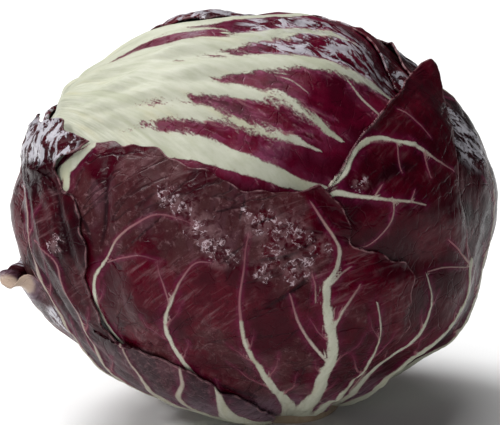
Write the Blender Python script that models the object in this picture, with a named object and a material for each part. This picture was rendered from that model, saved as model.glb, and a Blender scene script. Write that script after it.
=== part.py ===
"""A head of round red radicchio, standing on its cut stump.

Eight wrapper leaves lie over one another round a tight heart. All of them are laid on one lumpy, slightly
flattened ball: the outermost leaf lies on the ball itself, and each leaf under it lies one layer deeper.
Places on the ball are given as (azimuth, polar) in degrees. Azimuth 0 is the front, -Y, and grows towards +X.
Polar is counted from the bottom, so 0 is the stump, 90 the widest ring and 180 the top.
Lengths are in metres, +Z is up, and the origin is the centre of the stump's cut face.
"""

import math

import bpy
import numpy as np

MM = 0.001

# The ball that the leaves lie on
HEAD_CENTRE = np.array([-9.0, 0.0, 55.0]) * MM
HEAD_RADII = np.array([65.0, 61.0, 54.5]) * MM
STUMP_OFFSET = 9.0 * MM  # the stump stands this far to the right of the ball's centre
MEAN_RADIUS = 60.0 * MM

# How the leaves lie on one another
LAYER = 1.9 * MM
LEAF_THICKNESS = 0.8 * MM
COVER_MARGIN = 3.5 * MM  # a leaf stays a full layer deep this far outside the leaf over it
COVER_FADE = 14.0 * MM  # and comes up to the surface over this distance
SHOWN_MARGIN = 1.5 * MM  # ribs and rolled edges start to rise this far outside the leaf over them
SHOWN_FADE = 9.0 * MM  # and stand in full after this distance more

# Swells and dents of the ball: azimuth, polar, spread in degrees, height in mm
SWELLS = [
    (-98, 138, 22, -3.0),
    (58, 42, 20, -3.5),
    (112, 152, 14, 2.0),
    (-42, 44, 18, 1.0),
    (-62, 112, 13, 1.4),
    (20, 74, 16, 1.2),
    (44, 112, 16, 1.5),
    (-22, 86, 17, 1.2),
    (8, 138, 15, 1.4),
    (150, 92, 24, 2.0),
    (-150, 100, 22, 1.5),
]
# Creases and ridges of the ball: places along each, half width and height in mm
CREASES = [
    ([(17, 91), (28, 92), (38, 91), (50, 89), (66, 84)], 6.5, -2.2),
    ([(-38, 108), (-36, 96), (-35, 88), (-36, 78)], 5.0, -1.2),
    ([(-14, 76), (-2, 79), (12, 86)], 5.0, 1.0),
]
BILLOW_WAVES = 9
BILLOW_HEIGHT = 0.28 * MM
BILLOW_SEED = 11

# Grid of a leaf's sheet, across and along it, and how strongly its lines crowd towards the edges
ACROSS = 22
ALONG = 18
ACROSS_CROWDING = 0.35
ALONG_CROWDING = 0.45


def direction(azimuth, polar):
    """Unit vectors of places on the ball."""
    a, p = np.radians(azimuth), np.radians(polar)
    return np.stack([np.sin(p) * np.sin(a), -np.sin(p) * np.cos(a), -np.cos(p)], -1)


def unit(vectors):
    return vectors / np.linalg.norm(vectors, axis=-1, keepdims=True)


def billow(d):
    """Gentle uneven swelling: a seeded sum of plane waves, 25 to 45 mm long, read on the ball."""
    rng = np.random.default_rng(BILLOW_SEED)
    total = np.zeros(d.shape[:-1])
    for _ in range(BILLOW_WAVES):
        heading = unit(rng.normal(size=3))
        turns = MEAN_RADIUS / (rng.uniform(25, 45) * MM)
        total = total + np.sin(2 * math.pi * turns * (d @ heading) + rng.uniform(0, 2 * math.pi))
    return BILLOW_HEIGHT * total


def line_distance(places, d):
    """Distance of places from a curve on the ball, and the share of its length at which it passes nearest."""
    cosines = d @ curve(places, np.linspace(0, 1, RIB_SAMPLES)).T
    away = np.arccos(np.clip(cosines.max(-1), -1, 1)) * MEAN_RADIUS
    return away, cosines.argmax(-1) / (RIB_SAMPLES - 1)


def crease(places, half_width, height, d):
    """A rounded valley or ridge along a curve, which dies out at both ends."""
    away, along = line_distance(places, d)
    return height * MM * np.exp(-((away / (half_width * MM)) ** 2)) * np.sin(math.pi * along) ** 0.7


def bell(azimuth, polar, spread, d):
    """1 at a place on the ball, falling off round it over a spread in degrees."""
    away = np.degrees(np.arccos(np.clip(d @ direction(azimuth, polar), -1, 1)))
    return np.exp(-((away / spread) ** 2))


def swell(d):
    """Height of the ball's surface over the plain ellipsoid."""
    swells = sum(height * MM * bell(*place, d) for *place, height in SWELLS)
    return billow(d) + swells + sum(crease(*line, d) for line in CREASES)


def outward(d):
    """Unit normals of the ellipsoid."""
    return unit(d / HEAD_RADII)


def on_head(d, depth):
    """Points at a depth under the ball's surface. The lower half leans towards the stump."""
    points = HEAD_CENTRE + HEAD_RADII * d + outward(d) * (swell(d) - depth)[..., None]
    points[..., 0] += STUMP_OFFSET * np.where(d[..., 2] < 0, d[..., 2] ** 2, 0)
    return points


def curve(places, shares):
    """A smooth curve on the unit ball through (azimuth, polar) places, read at shares of its length."""
    knots = direction(*np.array(places, float).T)
    along = np.concatenate([[0], np.cumsum(np.linalg.norm(np.diff(knots, axis=0), axis=1))])
    along = along / along[-1]
    slopes = np.gradient(knots, along, axis=0)
    i = np.clip(np.searchsorted(along, shares) - 1, 0, len(knots) - 2)
    span = (along[i + 1] - along[i])[:, None]
    u = (np.asarray(shares)[:, None] - along[i][:, None]) / span
    return unit(
        (2 * u**3 - 3 * u**2 + 1) * knots[i]
        + (u**3 - 2 * u**2 + u) * span * slopes[i]
        + (3 * u**2 - 2 * u**3) * knots[i + 1]
        + (u**3 - u**2) * span * slopes[i + 1]
    )


# The leaves, the outermost first. left, tip and right are the edges as seen from outside with the base down:
# left and right run from the stump to the ends of the tip. ribs are (places, height in mm). rolls are
# (azimuth, polar, reach in degrees, rolled length in mm): where the edge rolls outwards. lifts are (azimuth,
# polar, spread in degrees, height in mm): where the leaf stands off the ball.
LEAVES = {
    "leaf_left": {
        "left": [(-75, 14.7), (-67, 40), (-60, 60), (-60, 70), (-64, 80), (-68, 92), (-76, 104), (-85, 113), (-89, 120)],
        "tip": [(-89, 120), (-79, 119.5), (-70, 121.5), (-64, 123.5), (-56, 122), (-48, 121)],
        "right": [(-10, 14.7), (-4, 36), (-10, 46), (-15, 52), (-25, 62), (-37, 66), (-41, 77), (-41, 94), (-45, 103),
                  (-54, 109), (-57, 114), (-52, 117), (-48, 121)],
        "ribs": [
            ([(-40, 20), (-50, 45), (-57, 62), (-61, 76), (-66, 92), (-74, 103)], 1.0),
            ([(-32, 20), (-42, 45), (-48, 62), (-52, 78), (-56, 92)], 0.9),
            ([(-24, 20), (-32, 45), (-39, 58), (-43, 66)], 1.0),
            ([(-16, 20), (-20, 42), (-24, 58)], 0.9),
        ],
        "rolls": [(-66, 124, 18, 3.0), (-41, 90, 16, 2.0)],
        "lifts": [(-86, 117, 9, 2.0), (-66, 118, 9, 1.2)],
    },
    "leaf_curl": {
        "left": [(-125, 14.8), (-128, 34), (-128, 52), (-121, 66)],
        "tip": [(-121, 66), (-105, 74), (-88, 77), (-70, 77), (-54, 70)],
        "right": [(-70, 14.8), (-58, 34), (-53, 52), (-54, 70)],
        "ribs": [
            ([(-100, 21), (-103, 42), (-104, 65)], 1.2),
            ([(-85, 21), (-80, 42), (-78, 67)], 0.9),
        ],
        "rolls": [(-80, 77, 26, 8.5)],
        "lifts": [(-80, 75, 12, 1.5)],
    },
    "leaf_front": {
        "left": [(-35, 15.0), (-50, 40), (-58, 60), (-62, 85), (-59, 100), (-53, 110.5)],
        "tip": [(-53, 110.5), (-47.5, 115.5), (-45.5, 120), (-38, 123), (-20, 120), (-5, 114), (8, 111.5), (16, 113.5)],
        "right": [(25, 15.0), (28, 42), (33, 53), (37.5, 68), (39, 80), (38, 89), (30, 93), (23.5, 96), (22.5, 102),
                  (19.5, 109), (16, 113.5)],
        "ribs": [
            ([(-8, 20), (-22, 40), (-32, 60), (-39, 76), (-37, 88), (-30, 98), (-20, 102)], 1.3),
            ([(-4, 20), (-14, 45), (-20, 62), (-20, 74), (-17, 88), (-12, 98)], 1.2),
            ([(4, 20), (2, 45), (-2, 62), (-4, 76), (-3, 92)], 1.2),
            ([(14, 20), (16, 45), (17, 62), (16.5, 76), (17, 88), (21, 94)], 1.8),
            ([(20, 20), (24, 45), (29, 60), (30, 75), (29, 82)], 1.4),
        ],
        "rolls": [(18, 111, 9, 2.5), (-20, 120, 20, 1.2), (34, 92, 10, 1.8)],
        "lifts": [],
    },
    "leaf_back_left": {
        "left": [(-175, 15.2), (-192, 40), (-203, 70), (-206, 100), (-196, 128)],
        "tip": [(-196, 128), (-180, 137), (-160, 140), (-136, 134), (-115, 122), (-94, 112)],
        "right": [(-110, 15.2), (-85, 40), (-68, 60), (-58, 80), (-57, 94), (-70, 106), (-94, 112)],
        "ribs": [
            ([(-150, 22), (-158, 50), (-164, 80), (-160, 110), (-150, 132)], 1.8),
            ([(-138, 22), (-132, 50), (-126, 80), (-122, 110)], 1.3),
            ([(-160, 22), (-178, 50), (-188, 80), (-188, 105)], 1.2),
            ([(-124, 22), (-108, 50), (-96, 80), (-92, 102)], 1.1),
        ],
        "rolls": [(-150, 138, 40, 3.0)],
        "lifts": [],
    },
    "leaf_right": {
        "left": [(25, 15.4), (12, 45), (6, 70), (6, 90), (11, 104), (18, 112)],
        "tip": [(18, 112), (21.5, 115.5), (26, 121.5), (32, 126.5), (44, 132.5), (55, 135.5), (67, 138), (80, 138.5),
                (92, 136)],
        "right": [(75, 15.4), (67, 35), (66, 50), (69, 66), (68, 76), (63, 85), (59, 93), (57, 103), (60, 113),
                  (68, 122), (79, 129), (92, 136)],
        "ribs": [
            ([(40, 22), (46, 42), (50, 58), (52, 72), (49, 85)], 1.5),
            ([(52, 22), (59, 45), (63, 60), (62, 72), (61, 84)], 1.7),
            ([(19, 112), (25, 114), (31, 120), (38, 122), (46, 118), (53, 110)], 1.4),
            ([(19, 109), (28, 107), (40, 104)], 1.2),
        ],
        "rolls": [(40, 131, 26, 3.5)],
        "lifts": [(92, 135, 10, 4.5), (62, 133, 12, 1.2)],
    },
    "leaf_back_right": {
        "left": [(70, 15.8), (54, 45), (47, 70), (49, 95), (56, 115), (66, 128)],
        "tip": [(66, 128), (82, 137), (100, 142), (125, 141), (152, 129)],
        "right": [(135, 15.8), (152, 45), (163, 75), (164, 105), (152, 129)],
        "ribs": [
            ([(100, 23), (104, 50), (108, 80), (106, 110), (100, 132)], 1.8),
            ([(88, 23), (84, 50), (80, 80), (78, 108)], 1.2),
            ([(112, 23), (124, 50), (134, 80), (134, 112)], 1.3),
            ([(122, 23), (140, 50), (150, 80), (150, 102)], 1.1),
        ],
        "rolls": [(100, 142, 40, 3.0)],
        "lifts": [],
    },
    "leaf_back_top": {
        "left": [(124, 16.2), (118, 50), (104, 85), (84, 112), (72, 128), (68, 139)],
        "tip": [(68, 139), (80, 146), (100, 152), (120, 156), (150, 157), (180, 158), (205, 161), (230, 164), (252, 162),
                (250, 157), (238, 151), (230, 144), (228, 138)],
        "right": [(208, 16.2), (222, 50), (232, 85), (236, 110), (234, 126), (228, 138)],
        "ribs": [
            ([(180, 24), (180, 60), (180, 100), (180, 140), (180, 154)], 1.8),
            ([(190, 24), (202, 60), (212, 100), (218, 130), (228, 150)], 1.3),
            ([(166, 24), (154, 60), (142, 100), (130, 135), (112, 152)], 1.3),
            ([(152, 24), (136, 60), (119, 95), (100, 128)], 1.0),
        ],
        "rolls": [(235, 163, 16, 3.5), (160, 157, 16, 2.5)],
        "lifts": [(246, 161, 7, 1.5)],
    },
    "leaf_top": {
        "left": [(-140, 17.0), (-146, 60), (-143, 95), (-138, 120), (-143, 135), (-160, 144), (180, 147), (150, 146),
                 (122, 142)],
        "tip": [(122, 142), (100, 138), (80, 131), (63, 120), (46, 106)],
        "right": [(-98, 17.0), (-95, 60), (-86, 88), (-72, 101), (-50, 105), (-28, 109), (-5, 104), (20, 100), (46, 106)],
        "ribs": [
            ([(-108, 110), (-80, 130), (-48, 147), (-10, 154), (25, 148), (48, 138), (64, 130)], 2.2),
            ([(-100, 106), (-72, 124), (-42, 138), (-12, 140), (12, 134), (28, 127)], 1.3),
            ([(-95, 103), (-66, 120), (-38, 131), (-12, 128), (8, 125), (18, 122)], 1.2),
            ([(-88, 101), (-60, 116), (-34, 122), (-12, 119), (6, 114), (18, 113)], 1.6),
            ([(-112, 116), (-90, 140), (-60, 158), (0, 166), (50, 158), (72, 147)], 1.4),
        ],
        "rolls": [],
        "lifts": [],
    },
}
LEAF_COLOURS = {
    "leaf_left": (0.075, 0.018, 0.030),
    "leaf_curl": (0.080, 0.020, 0.032),
    "leaf_front": (0.085, 0.014, 0.030),
    "leaf_back_left": (0.075, 0.014, 0.030),
    "leaf_right": (0.100, 0.005, 0.026),
    "leaf_back_right": (0.075, 0.012, 0.028),
    "leaf_back_top": (0.065, 0.012, 0.025),
    "leaf_top": (0.560, 0.520, 0.330),
}
LEAF_ROUGHNESS = 0.42
EDGE_WAVE = 0.7 * MM
EDGE_WAVE_LENGTH = 16.0 * MM
SECOND_WAVE = 2.3  # a second, finer wave runs this many times as often and half as high
EDGE_SAMPLES = 90
RIB_SAMPLES = 60
RIB_HALF_WIDTH = 3.2 * MM
ROLL_RADIUS = 3.0 * MM
RUFFLE_WAVE = 17.0 * MM
RUFFLE_ROLL = 2.0 * MM
EDGE_REACH = 0.3 * MM  # places nearer than this to the edge lie on it


def wavy(places, shares):
    """A leaf's edge: a curve that strays a little to both sides in waves, though not at its ends."""
    line = curve(places, shares)
    length = np.linalg.norm(np.diff(curve(places, np.linspace(0, 1, EDGE_SAMPLES)), axis=0), axis=1).sum()
    at = 2 * math.pi * shares * length * MEAN_RADIUS / EDGE_WAVE_LENGTH + math.radians(places[-1][0])
    stray = EDGE_WAVE * (np.sin(at) + 0.5 * np.sin(SECOND_WAVE * at))
    stray = stray * np.clip(5 * np.minimum(shares, 1 - shares), 0, 1)
    sideways = unit(np.cross(line, np.gradient(line, shares, axis=0)))
    return unit(line + sideways * (stray / MEAN_RADIUS)[:, None])


def base_arc(leaf, shares):
    """A leaf's foot: an arc round the stump."""
    ends = np.array([leaf["left"][0], leaf["right"][0]], float)
    azimuth, polar = (ends[0] + np.asarray(shares)[:, None] * (ends[1] - ends[0])).T
    return direction(azimuth, polar)


def free_edge(leaf):
    """Places along a leaf's left edge, tip and right edge, in that order, as unit vectors."""
    shares = np.linspace(0, 1, EDGE_SAMPLES)
    return np.concatenate([wavy(leaf[side], shares)[::way] for side, way in (("left", 1), ("tip", 1), ("right", -1))])


def outline(leaf):
    """The free edge and then the foot, back to where the free edge starts."""
    return np.concatenate([free_edge(leaf), base_arc(leaf, np.linspace(1, 0, EDGE_SAMPLES)[1:-1])])


def chart(leaf):
    """Two maps between the ball and the plane that keep distances from the leaf's middle: there and back."""
    middle = unit(free_edge(leaf).mean(0))
    east = unit(np.cross(middle, [0.31, 0.87, 0.38]))
    north = np.cross(middle, east)

    def to_plane(v):
        away = np.arccos(np.clip(v @ middle, -1, 1))
        flat = np.stack([v @ east, v @ north], -1)
        return flat * (away / np.maximum(np.linalg.norm(flat, axis=-1), 1e-9))[..., None]

    def to_ball(flat):
        away = np.linalg.norm(flat, axis=-1, keepdims=True)
        heading = (flat[..., :1] * east + flat[..., 1:] * north) / np.maximum(away, 1e-9)
        return middle * np.cos(away) + heading * np.sin(away)

    return to_plane, to_ball


def inside(leaf, d):
    """Whether places lie within a leaf's outline: a count of its edges crossed, on the leaf's chart."""
    to_plane, _ = chart(leaf)
    x, y = np.moveaxis(to_plane(d), -1, 0)
    corners = to_plane(outline(leaf))
    crossings = np.zeros(x.shape, int)
    for (x0, y0), (x1, y1) in zip(corners, np.roll(corners, -1, axis=0)):
        spans = (y0 > y) != (y1 > y)
        at = x0 + (y - y0) * (x1 - x0) / np.where(y1 == y0, 1, y1 - y0)
        crossings += spans & (x < at)
    return crossings % 2 == 1


def nearest_edge(leaf, d):
    """Distance from each place to the leaf's free edge, and the number of the edge sample nearest to it."""
    cosines = d @ free_edge(leaf).T
    nearest = cosines.argmax(-1)
    return np.arccos(np.clip(cosines.max(-1), -1, 1)) * MEAN_RADIUS, nearest


def smooth_step(x):
    x = np.clip(x, 0, 1)
    return x * x * (3 - 2 * x)


def cover(leaf, d, margin=COVER_MARGIN, fade=COVER_FADE):
    """1 where a leaf lies over a place, with a margin round it, and fading to 0 outside."""
    away, _ = nearest_edge(leaf, d)
    away = np.where(inside(leaf, d), 0, away)
    return 1 - smooth_step((away - margin) / fade)


def rib_height(leaf, d):
    """Height of the raised ribs: along each, a rounded ridge."""
    total = np.zeros(d.shape[:-1])
    for places, height in leaf["ribs"]:
        away, _ = line_distance(places, d)
        total = np.maximum(total, height * MM * np.exp(-((away / RIB_HALF_WIDTH) ** 2)))
    return total


def lift_height(leaf, d):
    """How far the leaf stands off the ball."""
    return sum((height * MM * bell(*place, d) for *place, height in leaf["lifts"]), np.zeros(d.shape[:-1]))


def rolled_length(leaf, nearest):
    """How much of the edge is rolled outwards, at each edge sample: an uneven ruffle, and the leaf's own rolls."""
    edge = free_edge(leaf)
    step = np.linalg.norm(np.diff(edge, axis=0, prepend=edge[:1]), axis=1) * MEAN_RADIUS
    at = 2 * math.pi * np.cumsum(step) / RUFFLE_WAVE
    length = RUFFLE_ROLL * (0.5 + 0.3 * np.sin(at) + 0.2 * np.sin(SECOND_WAVE * at))
    for azimuth, polar, reach, rolled in leaf["rolls"]:
        away = np.degrees(np.arccos(np.clip(edge @ direction(azimuth, polar), -1, 1)))
        length = np.maximum(length, rolled * MM * np.clip(1 - (away / reach) ** 2, 0, 1))
    return length[nearest]


def bunched(count, pull):
    """Shares from 0 to 1 that lie closer together towards both ends."""
    x = np.linspace(0, 1, count)
    return x - pull * np.sin(2 * math.pi * x) / (2 * math.pi)


def leaf_grid(leaf, across, along):
    """Places on the ball over a leaf, as rows from base to tip: a patch blended from its four edges."""
    to_plane, to_ball = chart(leaf)
    s, t = bunched(across, ACROSS_CROWDING), bunched(along, ALONG_CROWDING)
    left, right = to_plane(wavy(leaf["left"], t))[:, None], to_plane(wavy(leaf["right"], t))[:, None]
    base, tip = to_plane(base_arc(leaf, s)), to_plane(wavy(leaf["tip"], s))
    s, t = s[None, :, None], t[:, None, None]
    corners = (1 - s) * (1 - t) * base[0] + s * (1 - t) * base[-1] + (1 - s) * t * tip[0] + s * t * tip[-1]
    return to_ball((1 - s) * left + s * right + (1 - t) * base + t * tip - corners)


def leaf_sheet(name):
    """Points of a leaf's sheet: its grid laid on the ball under the leaves over it, with its ribs raised and its
    free edge rolled."""
    leaf = LEAVES[name]
    d = leaf_grid(leaf, ACROSS, ALONG)
    names = list(LEAVES)
    over = [LEAVES[n] for n in names[: names.index(name)]]
    depth = LAYER * sum((cover(o, d) for o in over), np.zeros(d.shape[:-1]))
    shown = np.prod([1 - cover(o, d, SHOWN_MARGIN, SHOWN_FADE) for o in over] + [np.ones(d.shape[:-1])], axis=0)
    points = on_head(d, depth - shown * (rib_height(leaf, d) + lift_height(leaf, d)))

    away, nearest = nearest_edge(leaf, d)
    towards = on_head(free_edge(leaf)[nearest], depth) - on_head(d, depth)
    towards = towards / np.maximum(np.linalg.norm(towards, axis=-1, keepdims=True), 1e-6)
    at_edge = away < EDGE_REACH
    towards[at_edge] = edge_direction(points)[at_edge]
    rolled = np.maximum(shown * rolled_length(leaf, nearest) - away, 0)[..., None]
    turn = rolled / ROLL_RADIUS
    return points + towards * (ROLL_RADIUS * np.sin(turn) - rolled) + outward(d) * ROLL_RADIUS * (1 - np.cos(turn))


def edge_direction(points):
    """For the outermost row and columns of a sheet, the unit direction that leads off the leaf."""
    out = np.zeros_like(points)
    out[:, 0] += unit(points[:, 0] - points[:, 1])
    out[:, -1] += unit(points[:, -1] - points[:, -2])
    out[-1] += unit(points[-1] - points[-2])
    return out / np.maximum(np.linalg.norm(out, axis=-1, keepdims=True), 1e-6)


def material(name, colour, roughness):
    made = bpy.data.materials.new(name)
    made.use_nodes = True
    shader = made.node_tree.nodes["Principled BSDF"]
    shader.inputs["Base Color"].default_value = (*colour, 1)
    shader.inputs["Roughness"].default_value = roughness
    shader.inputs["Metallic"].default_value = 0
    return made


def add_object(name, points, faces, finish):
    mesh = bpy.data.meshes.new(name)
    mesh.from_pydata(points.reshape(-1, 3).tolist(), [], faces)
    mesh.materials.append(finish)
    mesh.shade_smooth()
    made = bpy.data.objects.new(name, mesh)
    bpy.context.scene.collection.objects.link(made)
    return made


def sheet_triangles(rows, columns):
    """Two triangles for each cell of a grid, facing outwards."""
    faces = []
    for i in range(rows - 1):
        for j in range(columns - 1):
            a = i * columns + j
            b, c, e = a + 1, a + columns + 1, a + columns
            faces += [(a, b, c), (a, c, e)] if (i + j) % 2 else [(a, b, e), (b, c, e)]
    return faces


def make_leaf(name):
    points = leaf_sheet(name)
    finish = material(name, LEAF_COLOURS[name], LEAF_ROUGHNESS)
    made = add_object(name, points, sheet_triangles(*points.shape[:2]), finish)
    wall = made.modifiers.new("Thickness", "SOLIDIFY")
    wall.thickness = LEAF_THICKNESS
    wall.offset = -1
    return made


# The heart: tight inner leaves, wound round each other as one bud
HEART_DEPTH = LAYER * len(LEAVES) + 1.6 * MM
HEART_LEAVES = 9
HEART_TURN = 137.5  # degrees from each inner leaf to the next
HEART_STEP = 0.9 * MM
HEART_PLATE = 62.0  # reach in degrees of the lowest inner leaf from its middle
HEART_PLATE_SHRINK = 2.5  # each further one is this much smaller
HEART_FIRST = 96.0  # polar place of the lowest inner leaf's middle
HEART_RISE = 7.0  # each further one lies this much higher
HEART_EDGE = 7.0  # degrees over which a plate's edge rounds off
HEART_RIB = 0.8 * MM
HEART_AROUND = 40
HEART_UP = 24
HEART_BOTTOM = 24.0 * MM


def heart_relief(d):
    """Inner leaves as overlapping rounded plates, each a step above the last, with a midrib down its middle."""
    height = np.zeros(d.shape[:-1])
    for i in range(HEART_LEAVES):
        azimuth = i * HEART_TURN
        polar = HEART_FIRST + HEART_RISE * i
        away = np.degrees(np.arccos(np.clip(d @ direction(azimuth, polar), -1, 1)))
        plate = smooth_step((HEART_PLATE - HEART_PLATE_SHRINK * i - away) / HEART_EDGE)
        off_rib, _ = line_distance([(azimuth, 30), (azimuth, polar), (azimuth, min(polar + 30, 175))], d)
        raised = HEART_STEP * (1 + 0.25 * i) + HEART_RIB * np.exp(-((off_rib / RIB_HALF_WIDTH) ** 2))
        height = height * (1 - plate) + raised * plate
    return height


def make_heart():
    """A ball under all the wrapper leaves, flat at the bottom where it sits on the stump."""
    polars = np.linspace(180, 0, HEART_UP + 1)[1:-1]
    azimuths = np.arange(HEART_AROUND) * 360 / HEART_AROUND
    p, a = np.meshgrid(polars, azimuths, indexing="ij")
    d = direction(a, p)
    ring = on_head(d, HEART_DEPTH + 4 * HEART_STEP - heart_relief(d))
    poles = on_head(direction(np.array([0, 0]), np.array([180, 0])), np.full(2, HEART_DEPTH + HEART_STEP))
    points = np.concatenate([ring.reshape(-1, 3), poles])
    points[:, 2] = np.maximum(points[:, 2], HEART_BOTTOM)
    top, bottom = len(points) - 2, len(points) - 1
    rows = len(polars)
    faces = []
    for j in range(HEART_AROUND):
        k = (j + 1) % HEART_AROUND
        last = (rows - 1) * HEART_AROUND
        faces += [(top, j, k), (bottom, last + k, last + j)]
        for i in range(rows - 1):
            r = i * HEART_AROUND
            faces.append((r + j, r + HEART_AROUND + j, r + HEART_AROUND + k, r + k))
    return add_object("heart", points, faces, material("heart", (0.20, 0.05, 0.07), 0.5))


# The stump: the cut stem, a short cone that narrows up into the head
STUMP_AROUND = 32
STUMP_PROFILE = [(13.6, 0), (14.6, 0.9), (14.2, 5), (12.6, 11), (10.4, 17), (8.0, 23.6)]  # radius and height in mm


def make_stump():
    angles = np.arange(STUMP_AROUND) * 2 * math.pi / STUMP_AROUND
    uneven = 1 + 0.012 * np.sin(3 * angles) + 0.01 * np.sin(5 * angles + 1)
    rings = [
        np.stack([r * uneven * np.cos(angles), r * uneven * np.sin(angles), np.full(STUMP_AROUND, z)], -1)
        for r, z in STUMP_PROFILE
    ]
    points = np.concatenate(rings) * MM
    faces = []
    for i in range(len(STUMP_PROFILE) - 1):
        for j in range(STUMP_AROUND):
            k = (j + 1) % STUMP_AROUND
            r = i * STUMP_AROUND
            faces.append((r + j, r + k, r + STUMP_AROUND + k, r + STUMP_AROUND + j))
    last = (len(STUMP_PROFILE) - 1) * STUMP_AROUND
    faces.append(tuple(range(STUMP_AROUND))[::-1])
    faces.append(tuple(last + j for j in range(STUMP_AROUND)))
    return add_object("stump", points, faces, material("stump", (0.62, 0.56, 0.40), 0.6))


for old in list(bpy.data.objects):
    bpy.data.objects.remove(old)
for leaf_name in LEAVES:
    make_leaf(leaf_name)
make_heart()
make_stump()
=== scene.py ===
"""Looks of a head of round red radicchio, standing on its cut stump.

Every leaf is remade as a fine sheet in the place of its solid: laid on the same lumpy ball, under the same
leaves, with its ribs raised, its blade puckered and its free edge rolled. Places on the ball are (azimuth,
polar) in degrees: azimuth 0 is the front and grows to the right, polar is 0 at the stump and 180 at the top.
"""

import math
from types import SimpleNamespace

import bpy
import numpy as np
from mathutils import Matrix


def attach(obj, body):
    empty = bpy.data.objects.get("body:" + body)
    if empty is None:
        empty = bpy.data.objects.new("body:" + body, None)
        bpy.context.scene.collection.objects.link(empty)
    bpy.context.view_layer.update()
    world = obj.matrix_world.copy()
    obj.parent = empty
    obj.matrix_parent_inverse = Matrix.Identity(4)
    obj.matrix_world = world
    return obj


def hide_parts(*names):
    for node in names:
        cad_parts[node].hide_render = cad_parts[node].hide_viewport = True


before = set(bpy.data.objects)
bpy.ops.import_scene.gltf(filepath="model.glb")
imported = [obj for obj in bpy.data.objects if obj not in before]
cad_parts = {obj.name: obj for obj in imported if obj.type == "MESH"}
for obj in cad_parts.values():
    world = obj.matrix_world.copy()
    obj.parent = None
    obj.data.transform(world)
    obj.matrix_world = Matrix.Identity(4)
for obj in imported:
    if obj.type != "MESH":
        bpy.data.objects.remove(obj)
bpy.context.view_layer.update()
MM = 0.001

# The left leaf: the outermost one, which wraps the left side and the lower left. Its blade is thin and dark,
# dull with bloom low down, dried and crinkled at its torn upper end, and its ribs broaden to ivory at the foot.

# The ball that all the leaves lie on, as the solids have it
HEAD_CENTRE = np.array([-9.0, 0.0, 55.0]) * MM
HEAD_RADII = np.array([65.0, 61.0, 54.5]) * MM
STUMP_OFFSET = 9.0 * MM
MEAN_RADIUS = 60.0 * MM
# azimuth, polar, spread in degrees, height in mm
SWELLS = [
    (-98, 138, 22, -3.0),
    (58, 42, 20, -3.5),
    (112, 152, 14, 2.0),
    (-42, 44, 18, 1.0),
    (-62, 112, 13, 1.4),
    (20, 74, 16, 1.2),
    (44, 112, 16, 1.5),
    (-22, 86, 17, 1.2),
    (8, 138, 15, 1.4),
    (150, 92, 24, 2.0),
    (-150, 100, 22, 1.5),
]
# places along each crease or ridge, half width and height in mm
CREASES = [
    ([(17, 91), (28, 92), (38, 91), (50, 89), (66, 84)], 6.5, -2.2),
    ([(-38, 108), (-36, 96), (-35, 88), (-36, 78)], 5.0, -1.2),
    ([(-14, 76), (-2, 79), (12, 86)], 5.0, 1.0),
]
BILLOW_WAVES = 9
BILLOW_HEIGHT = 0.28 * MM
BILLOW_SEED = 11
LAYER = 1.9 * MM
COVER_MARGIN = 3.5 * MM
COVER_FADE = 14.0 * MM
EDGE_WAVE = 0.7 * MM
EDGE_WAVE_LENGTH = 16.0 * MM
EDGE_SAMPLES = 90
EDGE_SMOOTHING = 15  # samples that the edge's sideways directions are averaged over
LINE_SAMPLES = 60
ROLL_RADIUS = 3.0 * MM
RUFFLE_WAVE = 17.0 * MM
RUFFLE_ROLL = 2.0 * MM
BLADE_THICKNESS = 0.5 * MM
FAN_RADIUS = 40.0 * MM
SETTLE = 0.9 * MM  # how far a free edge lies in towards the leaf under it
SETTLE_REACH = 4.0 * MM
SHOWN_FROM = 1.5 * MM  # how far from the leaf over it a sheet starts to show its own relief
SHOWN_OVER = 9.0 * MM
PUCKER_SIZE = 9.0 * MM
PUCKER_CREASE = 6.0 * MM
PLEAT_SIZE = 7.0 * MM
CRUSH_SIZE = 3.2 * MM
CRUSH_HEIGHT = 0.7 * MM
FOLD_SIZE = 5.0 * MM
FOLD_HEIGHT = 1.5 * MM
FINE_FOLD = 1 / 3  # how high the finer folds are, as a share of the others
FLUTTER_SIZE = 6.0 * MM
FLUTTER_REACH = 5.0 * MM
SIDE_TURN = (28, 42)  # degrees between a rib and the veins that leave it
SIDE_STOP = 0.95  # the share of a rib that they end at
SIDE_SAMPLES = 24


def direction(azimuth, polar):
    """Unit vectors of places on the ball."""
    a, p = np.radians(azimuth), np.radians(polar)
    return np.stack([np.sin(p) * np.sin(a), -np.sin(p) * np.cos(a), -np.cos(p)], -1)


def unit(vectors):
    """Vectors scaled to length 1: each over its own length."""
    return vectors / np.maximum(np.linalg.norm(vectors, axis=-1, keepdims=True), 1e-12)


def ease(x):
    """0 up to x = 0, 1 from x = 1, and the S-curve 3x^2 - 2x^3 between."""
    x = np.clip(x, 0, 1)
    return x * x * (3 - 2 * x)


def curve(places, shares):
    """A smooth curve on the unit ball through places: cubic pieces whose slopes are the mean slopes at the knots,
    read at shares of its length."""
    knots = direction(*np.array(places, float).T)
    along = np.concatenate([[0], np.cumsum(np.linalg.norm(np.diff(knots, axis=0), axis=1))])
    along = along / along[-1]
    slopes = np.gradient(knots, along, axis=0)
    i = np.clip(np.searchsorted(along, shares) - 1, 0, len(knots) - 2)
    span = (along[i + 1] - along[i])[:, None]
    u = (np.asarray(shares)[:, None] - along[i][:, None]) / span
    return unit(
        (2 * u**3 - 3 * u**2 + 1) * knots[i]
        + (u**3 - 2 * u**2 + u) * span * slopes[i]
        + (3 * u**2 - 2 * u**3) * knots[i + 1]
        + (u**3 - u**2) * span * slopes[i + 1]
    )


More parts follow.
